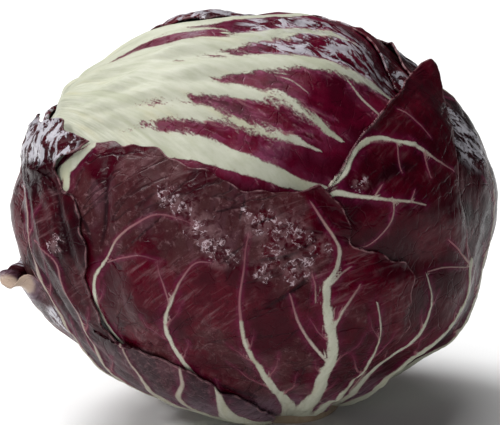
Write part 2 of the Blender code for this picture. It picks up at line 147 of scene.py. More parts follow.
def line_distance(line, d):
    """Distance of directions from a row of points on the ball, and the share of the row that is nearest: the
    nearest point first, then the nearer of the two straight steps beside it."""
    nearest = (d @ line.T).argmax(-1)
    away = np.full(d.shape[:-1], 9.0)
    share = np.zeros(d.shape[:-1])
    for side in (-1, 0):
        first = np.clip(nearest + side, 0, len(line) - 2)
        start, step = line[first], line[first + 1] - line[first]
        along = np.clip(((d - start) * step).sum(-1) / np.maximum((step**2).sum(-1), 1e-12), 0, 1)
        off = np.linalg.norm(d - start - along[..., None] * step, axis=-1)
        share = np.where(off < away, (first + along) / (len(line) - 1), share)
        away = np.minimum(away, off)
    return away * MEAN_RADIUS, share


def which_side(line, share, d):
    """1 to the right of a row of points, -1 to its left: the sign of the triple product of the nearest step, the
    point it starts from and the place."""
    nearest = np.clip((share * (len(line) - 1)).astype(int), 0, len(line) - 2)
    sideways = np.cross(line[nearest + 1] - line[nearest], line[nearest])
    return np.sign((sideways * d).sum(-1))


def swell(d):
    """Height of the ball's surface over the plain ellipsoid: a seeded sum of long plane waves, a bell at each
    swell, and a bell across each crease that dies out at its ends."""
    rng = np.random.default_rng(BILLOW_SEED)
    total = np.zeros(d.shape[:-1])
    for _ in range(BILLOW_WAVES):
        heading = unit(rng.normal(size=3))
        turns = MEAN_RADIUS / (rng.uniform(25, 45) * MM)
        total = total + BILLOW_HEIGHT * np.sin(2 * math.pi * turns * (d @ heading) + rng.uniform(0, 2 * math.pi))
    for azimuth, polar, spread, height in SWELLS:
        away = np.degrees(np.arccos(np.clip(d @ direction(azimuth, polar), -1, 1)))
        total = total + height * MM * np.exp(-((away / spread) ** 2))
    for places, half_width, height in CREASES:
        away, along = line_distance(curve(places, np.linspace(0, 1, LINE_SAMPLES)), d)
        total = total + height * MM * np.exp(-((away / (half_width * MM)) ** 2)) * np.sin(math.pi * along) ** 0.7
    return total


def outward(d):
    """Unit normals of the ellipsoid: each coordinate over its radius."""
    return unit(d / HEAD_RADII)


def on_head(d, depth):
    """Points at a depth under the swelled ellipsoid, whose lower half is moved sideways, towards the stump, by the
    square of the downward part of the direction."""
    points = HEAD_CENTRE + HEAD_RADII * d + outward(d) * (swell(d) - depth)[..., None]
    points[..., 0] += STUMP_OFFSET * np.where(d[..., 2] < 0, d[..., 2] ** 2, 0)
    return points


def wavy(leaf, side, shares):
    """One side of a leaf's edge: the curve through its places, moved sideways by two sine waves that die out at
    its ends."""
    places = leaf[side]
    line = curve(places, shares)
    length = np.linalg.norm(np.diff(curve(places, np.linspace(0, 1, EDGE_SAMPLES)), axis=0), axis=1).sum()
    at = 2 * math.pi * shares * length * MEAN_RADIUS / EDGE_WAVE_LENGTH + math.radians(places[-1][0])
    stray = EDGE_WAVE * leaf.get("wave", 1.0) * (np.sin(at) + 0.5 * np.sin(2.3 * at))
    stray *= np.clip(5 * np.minimum(shares, 1 - shares), 0, 1)
    sideways = unit(np.cross(line, np.gradient(line, shares, axis=0)))
    return unit(line + sideways * (stray / MEAN_RADIUS)[:, None])


def foot_arc(leaf, shares):
    """A leaf's foot: azimuth and polar run evenly from its left corner to its right one."""
    ends = np.array([leaf["left"][0], leaf["right"][0]], float)
    azimuth, polar = (ends[0] + np.asarray(shares)[:, None] * (ends[1] - ends[0])).T
    return direction(azimuth, polar)


def free_edge(leaf):
    """Directions along a leaf's left edge, tip and right edge, in that order."""
    shares = np.linspace(0, 1, EDGE_SAMPLES)
    return np.concatenate([wavy(leaf, side, shares)[::way] for side, way in (("left", 1), ("tip", 1), ("right", -1))])


def chart(leaf):
    """Two maps between the ball and the plane, there and back, that keep distances from the leaf's middle."""
    middle = unit(free_edge(leaf).mean(0))
    east = unit(np.cross(middle, [0.31, 0.87, 0.38]))
    north = np.cross(middle, east)

    def to_plane(v):
        away = np.arccos(np.clip(v @ middle, -1, 1))
        flat = np.stack([v @ east, v @ north], -1)
        return flat * (away / np.maximum(np.linalg.norm(flat, axis=-1), 1e-9))[..., None]

    def to_ball(flat):
        away = np.linalg.norm(flat, axis=-1, keepdims=True)
        heading = (flat[..., :1] * east + flat[..., 1:] * north) / np.maximum(away, 1e-9)
        return middle * np.cos(away) + heading * np.sin(away)

    return to_plane, to_ball


def inside(leaf, d):
    """Whether directions lie within a leaf's outline: an odd count of its edges crossed on the chart."""
    to_plane, _ = chart(leaf)
    x, y = np.moveaxis(to_plane(d), -1, 0)
    corners = to_plane(np.concatenate([free_edge(leaf), foot_arc(leaf, np.linspace(1, 0, EDGE_SAMPLES)[1:-1])]))
    crossings = np.zeros(x.shape, int)
    for (x0, y0), (x1, y1) in zip(corners, np.roll(corners, -1, axis=0)):
        spans = (y0 > y) != (y1 > y)
        at = x0 + (y - y0) * (x1 - x0) / np.where(y1 == y0, 1, y1 - y0)
        crossings += spans & (x < at)
    return crossings % 2 == 1


def outside_distance(leaf, d):
    """Distance from a leaf's free edge, and 0 within its outline."""
    away, _ = line_distance(free_edge(leaf), d)
    return np.where(inside(leaf, d), 0, away)


def bunched(count, pull):
    """Shares from 0 to 1 that lie closer together towards both ends: even ones less a sine of one turn."""
    x = np.linspace(0, 1, count)
    return x - pull * np.sin(2 * math.pi * x) / (2 * math.pi)


def leaf_grid(leaf, across, along):
    """Directions over a leaf, as rows from foot to tip: each side's pair of edges blended, both added, and the
    blend of the four corners taken off, on the leaf's chart."""
    to_plane, to_ball = chart(leaf)
    s, t = bunched(across, 0.35), bunched(along, 0.45)
    left, right = to_plane(wavy(leaf, "left", t))[:, None], to_plane(wavy(leaf, "right", t))[:, None]
    foot, tip = to_plane(foot_arc(leaf, s)), to_plane(wavy(leaf, "tip", s))
    s, t = s[None, :, None], t[:, None, None]
    corners = (1 - s) * (1 - t) * foot[0] + s * (1 - t) * foot[-1] + (1 - s) * t * tip[0] + s * t * tip[-1]
    return to_ball((1 - s) * left + s * right + (1 - t) * foot + t * tip - corners)


def hashed(cells, seed):
    """A repeatable number from 0 to 1 for each whole-number cell, by multiplying and folding its bits."""
    n = cells[..., 0] * 374761393 + cells[..., 1] * 668265263 + cells[..., 2] * 1442695041 + seed * 974711
    n = (n ^ (n >> 13)) * 1274126177
    return ((n ^ (n >> 16)) & 0xFFFF) / 0xFFFF


def noise(points, size, seed):
    """Smooth random heights from -1 to 1: random values on a lattice of that size, eased between its corners."""
    at = points / size
    cell = np.floor(at).astype(np.int64)
    share = ease(at - cell)
    total = np.zeros(points.shape[:-1])
    for corner in np.ndindex(2, 2, 2):
        weight = np.prod(np.where(corner, share, 1 - share), axis=-1)
        total += weight * hashed(cell + corner, seed)
    return 2 * total - 1


def creased(points, size, seed):
    """Sharp ridges between rounded hollows, 0 to 1: one less the size of the noise, at two scales."""
    coarse = 1 - np.abs(noise(points, size, seed))
    fine = 1 - np.abs(noise(points, 0.47 * size, seed + 1))
    return 0.65 * coarse**3 + 0.35 * fine**3


def rib(places, foot, end, raised=0.6, blush=(0.0, 0.3), ridge=None, flare=1):
    """A rib or vein: where it runs, its half width in mm at the foot and the end, how far it stands up in mm, how
    far its ivory turns to a thin vein's pink at the foot and at the end, the half width in mm of its ridge where
    that isn't the ivory's own, and how soon its foot narrows."""
    line = curve(places, np.linspace(0, 1, LINE_SAMPLES))
    return {"line": line, "foot": foot, "end": end, "raised": raised, "blush": blush, "ridge": ridge, "flare": flare}


def side_veins(parent, spacing, length, seed, wide=0.28, start=0.15):
    """Veins that leave a rib to both sides by turns: each steps off at a slant and bends back towards the rib's own
    heading as it goes, wandering a little. Spacing, length and width are in mm, and start is a share of the
    rib."""
    rng = np.random.default_rng(seed)
    line = parent["line"]
    reach = np.linalg.norm(np.diff(line, axis=0), axis=1).sum() * MEAN_RADIUS / MM
    grown = []
    for k in range(int(reach * (SIDE_STOP - start) / spacing)):
        share = start + (k + rng.uniform(0.2, 0.8)) * spacing / reach
        i = min(int(share * (LINE_SAMPLES - 1)), LINE_SAMPLES - 2)
        here, ahead = line[i], unit(line[i + 1] - line[i])
        side = np.cross(here, ahead) * (1 if k % 2 else -1)
        turn = math.radians(rng.uniform(*SIDE_TURN))
        long = 2.0 * length * rng.uniform(0.5, 1.0) * (1.1 - 0.6 * share)
        steps = np.linspace(0, 1, SIDE_SAMPLES)
        angle = turn * (1 - 0.5 * steps)
        wander = 0.12 * np.sin(2 * math.pi * (steps * rng.uniform(1, 2) + rng.uniform()))
        forward = np.cumsum(np.cos(angle + wander)) / len(steps)
        outwards = np.cumsum(np.sin(angle + wander)) / len(steps)
        points = here + (long * MM / MEAN_RADIUS) * (forward[:, None] * ahead + outwards[:, None] * side)
        tone = parent["blush"][0] + (parent["blush"][1] - parent["blush"][0]) * share
        grown.append({
            "line": unit(points), "foot": wide, "end": 0.08, "raised": 0.14, "ridge": None, "flare": 1,
            "blush": (min(tone + 0.9, 1.1), 1.75),
        })
    return grown


def edge_frame(leaf):
    """Samples of the free edge, and at each the direction that leads off the leaf, smoothed along the edge."""
    edge = free_edge(leaf)
    off = unit(np.cross(np.gradient(edge, axis=0), edge))
    middle = unit(edge.mean(0))
    off *= np.sign(((edge - middle) * off).sum(-1, keepdims=True) + 1e-9)
    kernel = np.hanning(EDGE_SMOOTHING) / np.hanning(EDGE_SMOOTHING).sum()
    padded = np.pad(off, ((EDGE_SMOOTHING // 2, EDGE_SMOOTHING // 2), (0, 0)), mode="edge")
    smooth = np.stack([np.convolve(padded[:, i], kernel, mode="valid") for i in range(3)], -1)
    return edge, unit(smooth)


def rolled_length(leaf, edge):
    """How much of the edge is rolled outwards at each sample: an uneven ruffle, and the leaf's own rolls."""
    step = np.linalg.norm(np.diff(edge, axis=0, prepend=edge[:1]), axis=1) * MEAN_RADIUS
    at = 2 * math.pi * np.cumsum(step) / RUFFLE_WAVE
    length = leaf.get("ruffle", 1.0) * RUFFLE_ROLL * (0.5 + 0.3 * np.sin(at) + 0.2 * np.sin(at / 0.43))
    for azimuth, polar, reach, rolled in leaf.get("rolls", []):
        away = np.degrees(np.arccos(np.clip(edge @ direction(azimuth, polar), -1, 1)))
        length = np.maximum(length, rolled * MM * np.clip(1 - (away / reach) ** 2, 0, 1))
    return length


def patches(spots, d):
    """The strongest at each place of soft round patches: azimuth, polar, radius in mm, strength from 0 to 1."""
    total = np.zeros(d.shape[:-1])
    for azimuth, polar, radius, strength in spots:
        away = np.arccos(np.clip(d @ direction(azimuth, polar), -1, 1)) * MEAN_RADIUS / MM
        total = np.maximum(total, strength * np.exp(-((away / radius) ** 2)))
    return total


laid = []


def rib_looks(leaf, d):
    """How high the ribs stand at each place, as the highest of the bells across them, and what the finish reads: how
    far the nearest rib's side is, how far the next one's, how far to the left or right its middle line is, and its
    half width and blush."""
    shape = d.shape[:-1]
    margin, gap = np.full(shape, 1.0), np.full(shape, 1.0)
    blush, width, offset, height = (np.zeros(shape) for _ in range(4))
    for vein in leaf["ribs"]:
        away, share = line_distance(vein["line"], d)
        half = (vein["end"] + (vein["foot"] - vein["end"]) * (1 - share**0.8) ** vein["flare"]) * MM
        nearer = away - half < margin
        gap = np.minimum(gap, np.maximum(away - half, margin))
        margin = np.where(nearer, away - half, margin)
        width = np.where(nearer, half, width)
        offset = np.where(nearer, away * which_side(vein["line"], share, d), offset)
        blush = np.where(nearer, vein["blush"][0] + (vein["blush"][1] - vein["blush"][0]) * share, blush)
        reach = vein["ridge"] * MM if vein["ridge"] else 1.25 * half + 0.25 * MM
        height = np.maximum(height, vein["raised"] * MM * (1 - 0.75 * share) * np.exp(-((away / reach) ** 2)))
    looks = {"margin": margin / MM, "gap": gap / MM, "width": width / MM, "offset": offset / MM, "blush": blush}
    return height, looks


def fibre_map(leaf, d):
    """Coordinates across and along the fibres, which fan out from one point: the heading, measured from the middle
    of the tip, times a fixed radius, and the distance."""
    to_plane, _ = chart(leaf)
    start = to_plane(direction(*leaf["fan"]))
    fan = to_plane(d) - start
    ahead = to_plane(unit(curve(leaf["tip"], [0.5])[0])) - start
    heading = np.arctan2(fan[..., 1], fan[..., 0]) - math.atan2(ahead[1], ahead[0])
    heading = (heading + math.pi) % (2 * math.pi) - math.pi
    return np.stack([heading * FAN_RADIUS, np.linalg.norm(fan, axis=-1) * MEAN_RADIUS], -1)


def crumpled(leaf, d, fibre, away, bruise, crinkle):
    """Height of the blade's small forms: puckers between creases, slanted pleats, crushed bruises, folds in the dry
    parts that are drawn out along the fibres, and a flutter near the free edge."""
    place = HEAD_RADII * d
    across, along, flat = fibre[..., 0], fibre[..., 1], np.zeros(d.shape[:-1])
    pucker = 0.6 * noise(place, PUCKER_SIZE, 3) + 0.4 * noise(place, PUCKER_SIZE / 2, 5)
    pucker = leaf["pucker"] * MM * (pucker - 0.6 * creased(place, PUCKER_CREASE, 8))
    slant = np.stack([across + 0.8 * along, 0.25 * along, flat], -1)
    pleats = leaf.get("pleat", 0.0) * MM * (creased(slant, PLEAT_SIZE, 41) - 0.4)
    crush = CRUSH_HEIGHT * bruise * creased(place, CRUSH_SIZE, 21)
    drawn = np.stack([across, leaf["fold"] * along, flat], -1)
    folds = creased(drawn, FOLD_SIZE, 31) - 0.4 + FINE_FOLD * creased(drawn, 0.4 * FOLD_SIZE, 37)
    flutter = leaf.get("flutter", 0.5) * MM * np.exp(-away / FLUTTER_REACH) * noise(place, FLUTTER_SIZE, 13)
    return pucker + pleats + crush + FOLD_HEIGHT * crinkle * folds + flutter


def leaf_sheet(leaf, across, along):
    """Points of a leaf's sheet, its fibre map and what its finish reads. The depth is a layer for each leaf over
    it. On what shows, the ribs, creases and crumples stand up; lifts raise broad bells; near the free edge the
    sheet lies in towards the leaf under it, and where it is rolled it turns outwards on an arc."""
    d = leaf_grid(leaf, across, along)
    depth = np.zeros(d.shape[:-1])
    shown = np.ones(d.shape[:-1])
    for over in laid:
        beyond = outside_distance(over, d)
        depth += LAYER * (1 - ease((beyond - COVER_MARGIN) / COVER_FADE))
        shown *= ease((beyond - SHOWN_FROM) / SHOWN_OVER)

    fibre = fibre_map(leaf, d)
    height, looks = rib_looks(leaf, d)
    bruise = patches(leaf.get("bruise", []), d)
    crinkle = patches(leaf.get("crinkle", []), d)
    away, nearest = line_distance(free_edge(leaf), d)
    height = height + crumpled(leaf, d, fibre, away, bruise, crinkle)
    crease = np.zeros(d.shape[:-1])
    for places, half_width, raised in leaf.get("creases", []):
        off_line, along_it = line_distance(curve(places, np.linspace(0, 1, LINE_SAMPLES)), d)
        fall = np.exp(-((off_line / (half_width * MM)) ** 2)) * np.sin(math.pi * np.clip(along_it, 0.02, 0.98)) ** 0.5
        height += raised * MM * fall
        crease += np.sign(raised) * fall**2
    lift = np.zeros(d.shape[:-1])
    for azimuth, polar, spread, lifted in leaf.get("lifts", []):
        off_by = np.degrees(np.arccos(np.clip(d @ direction(azimuth, polar), -1, 1)))
        lift += lifted * MM * np.exp(-((off_by / spread) ** 2))
    depth += SETTLE * np.exp(-away / SETTLE_REACH)
    points = on_head(d, depth - shown * height - lift)

    edge, off = edge_frame(leaf)
    at = np.rint(nearest * (len(edge) - 1)).astype(int)
    rolled = np.maximum(shown * rolled_length(leaf, edge)[at] - away, 0)[..., None]
    turn = rolled / ROLL_RADIUS
    points += off[at] * (ROLL_RADIUS * np.sin(turn) - rolled) + outward(d) * ROLL_RADIUS * (1 - np.cos(turn))

    looks.update(bruise=bruise, crinkle=crinkle, edge=away / MM, crease=crease)
    looks.update(bloom=patches(leaf["bloom"], d), pale=patches(leaf.get("pale", []), d))
    return points, fibre, looks


def add_mesh(name, points, faces, finish, smooth=True):
    """A mesh object from an array of points and an array of faces of equal size."""
    mesh = bpy.data.meshes.new(name)
    mesh.vertices.add(len(points))
    mesh.vertices.foreach_set("co", points.astype(np.float32).ravel())
    mesh.loops.add(faces.size)
    mesh.loops.foreach_set("vertex_index", faces.ravel())
    mesh.polygons.add(len(faces))
    mesh.polygons.foreach_set("loop_start", np.arange(len(faces)) * faces.shape[1])
    mesh.update(calc_edges=True)
    mesh.materials.append(finish)
    if smooth:
        mesh.shade_smooth()
    made = bpy.data.objects.new(name, mesh)
    bpy.context.scene.collection.objects.link(made)
    return made


def lay_leaf(name, node, leaf, across, along, finish):
    """Makes a leaf's sheet as two triangles a cell, gives it its wall and its attributes, and puts it in its
    solid's place."""
    points, fibre, looks = leaf_sheet(leaf, across, along)
    cells = np.arange(across * along).reshape(along, across)
    a, b, c, e = cells[:-1, :-1], cells[:-1, 1:], cells[1:, 1:], cells[1:, :-1]
    faces = np.stack([np.stack([a, b, c], -1), np.stack([a, c, e], -1)], 2).reshape(-1, 3)
    made = add_mesh(name, points.reshape(-1, 3), faces, finish)
    for key, values in looks.items():
        layer = made.data.attributes.new(key, "FLOAT", "POINT")
        layer.data.foreach_set("value", values.astype(np.float32).ravel())
    layer = made.data.uv_layers.new(name="fibre")
    layer.data.foreach_set("uv", fibre.reshape(-1, 2)[faces.ravel()].astype(np.float32).ravel())
    wall = made.modifiers.new("Thickness", "SOLIDIFY")
    wall.thickness = BLADE_THICKNESS
    wall.offset = -1
    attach(made, "root")
    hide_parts(node)
    laid.append(leaf)


def rgb(red, green, blue):
    """A colour given as it looks on a screen, 0 to 255 each, turned to linear light."""
    share = np.array([red, green, blue]) / 255
    linear = np.where(share < 0.04045, share / 12.92, ((share + 0.055) / 1.055) ** 2.4)
    return (*linear.tolist(), 1.0)


class Field:
    """A value that varies over a surface: one output of a shader node, which the arithmetic signs work on."""

    def __init__(self, socket):
        self.socket = socket

    def __add__(self, other):
        return maths("ADD", self, other)

    def __sub__(self, other):
        return maths("SUBTRACT", self, other)

    def __mul__(self, other):
        return maths("MULTIPLY", self, other)

    def __truediv__(self, other):
        return maths("DIVIDE", self, other)

    def __abs__(self):
        return maths("ABSOLUTE", self)


def plug(node, inputs):
    """Sets a node's inputs: each is a number, a colour or a field."""
    for socket, value in inputs.items():
        if isinstance(value, Field):
            node.id_data.links.new(value.socket, node.inputs[socket])
        else:
            node.inputs[socket].default_value = value


def add_node(tree, kind, inputs, output=0, **settings):
    """The field that one new shader node gives."""
    made = tree.nodes.new("ShaderNode" + kind)
    for key, value in settings.items():
        setattr(made, key, value)
    plug(made, inputs)
    return Field(made.outputs[output])


def derive(kind, inputs, output=0, **settings):
    """The field that a new node works out from other fields, in the tree that they are in."""
    tree = next(value.socket.id_data for value in inputs.values() if isinstance(value, Field))
    return add_node(tree, kind, inputs, output, **settings)


def maths(operation, first, second=0.0):
    """One arithmetic step on a field, which the shader's own Math node names."""
    return derive("Math", {0: first, 1: second}, operation=operation)


def greater(first, second):
    """The larger of two values."""
    return maths("MAXIMUM", first, second)


def blend(share, first, second):
    """A colour that goes from the first to the second as share goes from 0 to 1."""
    return derive("Mix", {0: share, 6: first, 7: second}, 2, data_type="RGBA")


def fade(value, low, high, to_low=0.0, to_high=1.0):
    """An S-curve from to_low where value is low to to_high where it is high."""
    return derive("MapRange", {0: value, 1: low, 2: high, 3: to_low, 4: to_high}, interpolation_type="SMOOTHSTEP")


def grain(where, size, detail=3.0, roughness=0.5, distortion=0.0):
    """Noise from 0 to 1 whose features are about size mm."""
    inputs = {"Vector": where, "Scale": 1000 / size, "Detail": detail, "Roughness": roughness}
    return derive("TexNoise", {**inputs, "Distortion": distortion})


def stretched(where, y=1.0, z=1.0):
    """Coordinates scaled along their second and third axes, which draws out noise along them."""
    return derive("Mapping", {"Vector": where, "Scale": (1.0, y, z)})


def start_finish(name):
    """A new material, its shader, and the field of places on the object."""
    made = bpy.data.materials.new(name)
    made.use_nodes = True
    return made, made.node_tree.nodes["Principled BSDF"], add_node(made.node_tree, "TexCoord", {}, "Object")


IVORY = rgb(182, 183, 167)
IVORY_SHADE = rgb(158, 161, 138)
IVORY_WARM = rgb(182, 175, 140)
BLUSH = rgb(112, 24, 66)
THIN_VEIN = rgb(132, 88, 92)
WINE = rgb(80, 1, 22)
WINE_DARK = rgb(44, 2, 12)
BLOOM = rgb(66, 36, 37)
BLOOM_PURPLE = rgb(86, 55, 63)
# painted sheen: a silver colour that stands in for light on the dry, folded skin
SILVER_SHEEN = rgb(188, 186, 194)
# painted highlight along the leaf's free edge, over its paler margin
RIM_HIGHLIGHT = rgb(150, 112, 116)
LIP = rgb(168, 148, 130)
# painted sheen: light specks and streaks, and lighter crushed spots
SCUFF_AND_SHEEN = rgb(140, 106, 110)
# painted shade, for crease hollows and wrinkles
CREASE_SHADE = rgb(24, 2, 8)
THREAD = rgb(176, 132, 140)
# violet-grey of the foot: bloom with a painted sheen over it
FOOT_BLOOM_SHEEN = rgb(112, 88, 102)
# painted highlight: the glints of wet, crushed skin
GLINT = rgb(194, 172, 179)
SLANT = math.radians(-28)  # how far the wrinkles between the ribs lean from the fibres
NET_CELL = 6.5  # size in mm of the finest veins' net
NET_DRIFT = 4.0  # size in mm of the noise that shifts it, and how far


def leaf_fields(tree, place):
    """A leaf's attributes, and the noises that its skin is drawn with. Those made on the fibre map are drawn out
    along the fibres, and two of them at a slant to the fibres."""
    f = SimpleNamespace(place=place)
    for key in ("margin", "gap", "offset", "width", "blush", "bloom", "bruise", "crinkle", "pale", "edge", "crease"):
        setattr(f, key, add_node(tree, "Attribute", {}, "Fac", attribute_name=key))
    f.cloud = grain(place, 13, 3.0, 0.55)
    f.ragged = grain(place, 5, 3.0, 0.6, 0.5)
    f.mottle = grain(place, 3.5, 4.0, 0.6, 0.4)
    f.crush = grain(place, 1.8, 3.0, 0.55, 0.3)
    f.speck = grain(place, 0.6, 3.0, 0.6)
    fibre = add_node(tree, "UVMap", {}, uv_map="fibre")
    drawn = stretched(fibre, 0.13)
    f.streak = grain(drawn, 0.9, 4.0, 0.65)
    f.wide_streak = grain(drawn, 2.6, 3.0, 0.6)
    f.broad_streak = grain(drawn, 4.5, 4.0, 0.6)
    f.pleats = grain(stretched(fibre, 0.05), 4.0, 3.0, 0.55)
    f.folds = grain(stretched(fibre, 0.2), 1.1, 5.0, 0.7, 0.4)
    f.scuffs = grain(stretched(fibre, 0.4), 0.8, 5.0, 0.75, 0.5)
    f.nibble = grain(stretched(fibre, 0.5), 1.6, 4.0, 0.65)
    slant = derive("Mapping", {"Vector": fibre, "Rotation": (0, 0, SLANT)})
    f.sheen = grain(stretched(slant, 0.14), 0.9, 5.0, 0.7, 0.6)
    f.bends = grain(stretched(slant, 0.3), 7.0, 3.0, 0.5, 0.8)
    return f


def add_ribs(f, feather):
    """How far ivory reaches, and the blush round it. The distance from the nearest rib's side is frayed by noise,
    most where the blade between two ribs is narrow. Ivory lies within, and dies out along the thinnest veins."""
    narrow = fade(f.gap, 0.5, 5.0, 1.0, 0.25)
    margin = greater(abs(f.offset) - f.width, f.margin - 0.4)
    fray = (f.streak - 0.5) * (2.4 * feather) + (f.wide_streak - 0.5) * (3.0 * feather)
    fray = (fray + (f.speck - 0.5) * (1.2 * feather)) * narrow * fade(f.width, 0.0, 1.0, 0.3, 1.2)
    fray = fray + (f.nibble - 0.5) * fade(f.width, 0.2, 1.0, 0.1, 1.0 - 0.4 * feather)
    f.frayed = margin + fray - f.pale
    softness = greater(narrow * (0.06 + 0.5 * feather) * fade(f.width, 0.3, 1.0), 0.18)
    f.ivory = fade(f.frayed / softness, 1.0, -1.0) * fade(f.blush, 1.0, 1.8, 1.0, 0.1)
    reach = fade(f.blush, 0.0, 1.0, 2.4 + 1.4 * feather, 1.2)
    f.halo = fade(f.frayed / reach, 1.0, 0.0) * fade(narrow, 0.25, 0.8, 1.0 - 0.27 * feather, 1.0)


def add_wear(f, drab):
    """Where the skin is filmed with bloom, rubbed bare of it, or dry, with a painted silver sheen on its folds, and
    where wrinkles run: thin lines where a slanted noise passes its middle value."""
    f.rubbed = fade(f.bruise + (f.ragged - 0.5) * 2.2 * fade(f.bruise, 0, 0.3), 0.35, 0.55)
    patchy = f.bloom + (f.cloud - 0.5) * 0.9 + (f.mottle - 0.5) * 0.5
    film = fade(patchy, 0.32, 0.58, 0.0, 0.9) * fade(f.speck, 0.2, 0.65, 1.0, 0.72)
    f.film = greater(film, fade(f.cloud, 0.5, 0.75, 0.0, drab)) * fade(f.rubbed, 0, 1, 1.0, 0.05)
    # the dry folds, which take the painted silver sheen
    dry = fade(f.crinkle, 0.3, 0.55) * fade(f.folds, 0.47, 0.54, 0.0, 0.8)
    f.dry = dry * fade(f.cloud, 0.34, 0.44) * fade(f.ivory, 0.1, 0.6, 1.0, 0.25)
    wrinkle = fade(abs(f.bends - 0.5), 0.02, 0.004) * fade(f.cloud, 0.56, 0.46)
    f.wrinkle = wrinkle * fade(f.ivory, 0, 1, 1.0, 0.0)


def add_net(f):
    """The net of finest veins: the borders of cells whose places a coarse noise has shifted."""
    shift = derive("TexNoise", {"Vector": f.place, "Scale": 1000 / NET_DRIFT, "Detail": 1.0}, "Color")
    shift = derive("VectorMath", {0: shift, 1: (0.5, 0.5, 0.5)}, operation="SUBTRACT")
    shift = derive("VectorMath", {0: shift, "Scale": NET_DRIFT * MM}, operation="SCALE")
    shifted = derive("VectorMath", {0: f.place, 1: shift}, operation="ADD")
    cells = {"Vector": shifted, "Scale": 1000 / NET_CELL, "Randomness": 1.0}
    border = derive("TexVoronoi", cells, "Distance", feature="DISTANCE_TO_EDGE")
    f.veinlet = fade(border, 0.05, 0.0) * fade(f.streak, 0.35, 0.6)


def blade_colour(f, wine, dark, bloom, flush, feather, worn):
    """Wine red clouded with dark, the film of bloom in streaks over it, then the net, painted shade in the creases'
    hollows, light specks and slanted streaks of painted sheen, painted shade in the wrinkles, the violet-grey foot of
    bloom under a painted sheen, pale threads near the ribs, and the blush."""
    blade = blend(fade(f.cloud, 0.38, 0.62), dark, wine)
    blade = blend(fade(f.mottle, 0.42, 0.72, 0.0, 0.55), blade, dark)
    blade = blend(fade(f.speck, 0.45, 0.8, 0.0, 0.35), blade, dark)
    dusk = blend(fade(f.broad_streak, 0.5, 0.65), bloom, BLOOM_PURPLE)
    dusk = blend(fade(f.wide_streak, 0.42, 0.62, 0.0, 0.5), dusk, dark)
    blade = blend(f.film, blade, dusk)
    blade = blend(f.veinlet * 0.45, blade, dark)
    # painted shade in the hollows of the creases
    blade = blend(fade(f.crease, -0.25, -0.9, 0.0, 0.8), blade, CREASE_SHADE)
    # painted sheen: light specks over the film, and slanted streaks in the clouds of the blade
    scuff = fade(f.scuffs, 0.52, 0.68) * f.film * 0.55
    sheen = fade(f.sheen, 0.48, 0.7, 0.0, 0.65 * worn) * fade(f.cloud, 0.47, 0.6)
    blade = blend(greater(scuff, sheen), blade, SCUFF_AND_SHEEN)
    # painted shade in the wrinkles
    blade = blend(f.wrinkle * (0.8 * worn), blade, CREASE_SHADE)
    # the foot: bloom with a painted sheen, in slanted streaks
    foot = fade(f.pale, 0.1, 0.5, 0.0, 0.85) * fade(f.sheen, 0.35, 0.6, 0.25, 1.0)
    blade = blend(foot, blade, FOOT_BLOOM_SHEEN)
    thread = fade(f.streak, 0.57, 0.74) * fade(f.frayed, 4.0, 0.2, 0.0, 0.3 * feather)
    blade = blend(thread, blade, THREAD)
    halo = f.halo * fade(f.mottle, 0.35, 0.65, 0.15, 0.55 + 0.1 * feather)
    return blend(halo * fade(f.streak, 0.3, 0.7, 0.3, 1.0), blade, flush)


def ivory_colour(f, flush):
    """Ivory with greener and warmer streaks, painted shade in its pleats' troughs, pinker in thin veins, and flecked
    with pink near its sides.
    """
    ivory = blend(fade(f.streak, 0.3, 0.75, 0.0, 0.6), IVORY, IVORY_SHADE)
    # painted shade in the troughs of the pleats
    ivory = blend(fade(f.pleats, 0.48, 0.38, 0.0, 0.6), ivory, IVORY_SHADE)
    ivory = blend(fade(f.wide_streak, 0.5, 0.8, 0.0, 0.4), ivory, IVORY_WARM)
    ivory = blend(fade(f.blush, 0.0, 1.0), ivory, THIN_VEIN)
    ivory = blend(fade(f.frayed, -0.5, 0.1, 0.0, 0.35), ivory, flush)
    return blend(fade(f.speck, 0.55, 0.7) * fade(f.frayed, -1.4, -0.2, 0.0, 0.4), ivory, THIN_VEIN)


def wear_and_painted_light(f, skin, lip):
    """The worn places over the skin and the light painted on them: the leaf's pale rim with a painted highlight, its
    rolled lip, the crushed spots with painted sheen and painted wet glints in them, and a painted silver sheen on the
    dry folds."""
    # the rim: a painted highlight along the free edge, over the paler margin
    skin = blend(fade(f.edge, 0.5, 0.15, 0.0, 0.5) * fade(f.mottle, 0.42, 0.58), skin, RIM_HIGHLIGHT)
    if lip:
        turned = fade(f.edge + f.streak, lip + 0.8, lip - 0.4, 0.0, 0.85)
        skin = blend(turned * fade(f.pale, 0.35, 0.6), skin, LIP)
    # lighter crushed spots in the bruises: painted sheen
    skin = blend(fade(f.bruise, 0.2, 0.5) * fade(f.crush, 0.4, 0.6, 0.0, 0.35), skin, SCUFF_AND_SHEEN)
    # painted wet glints in the rubbed, crushed places
    glint = fade(abs(f.crush - 0.53), 0.03, 0.01) * fade(f.scuffs, 0.46, 0.54)
    glint = greater(glint, fade(f.scuffs, 0.56, 0.62, 0.0, 0.8)) * fade(f.rubbed, 0, 1, 0.0, 0.8)
    skin = blend(glint, skin, GLINT)
    # painted silver sheen on the dry folds
    return blend(f.dry, skin, SILVER_SHEEN)


def leaf_relief(f, worn):
    """Height of the skin in mm: streaks, mottle and long pleats up, net and wrinkles down, and strong crumples in
    bruises and dry parts. Ivory has the pleats alone, and little mottle."""
    relief = f.streak * 0.16 + f.mottle * fade(f.ivory, 0, 1, 0.45, 0.1)
    relief = relief - f.veinlet * fade(f.ivory, 0, 1, 0.2, 0.0) - f.wrinkle * (0.8 * worn)
    relief = relief + f.sheen * fade(f.ivory, 0, 1, 0.2 * worn, 0.0) + f.pleats * fade(f.ivory, 0, 1, 0.0, 2.2)
    return relief + f.crush * f.bruise * 2.2 + f.folds * f.crinkle * 1.4


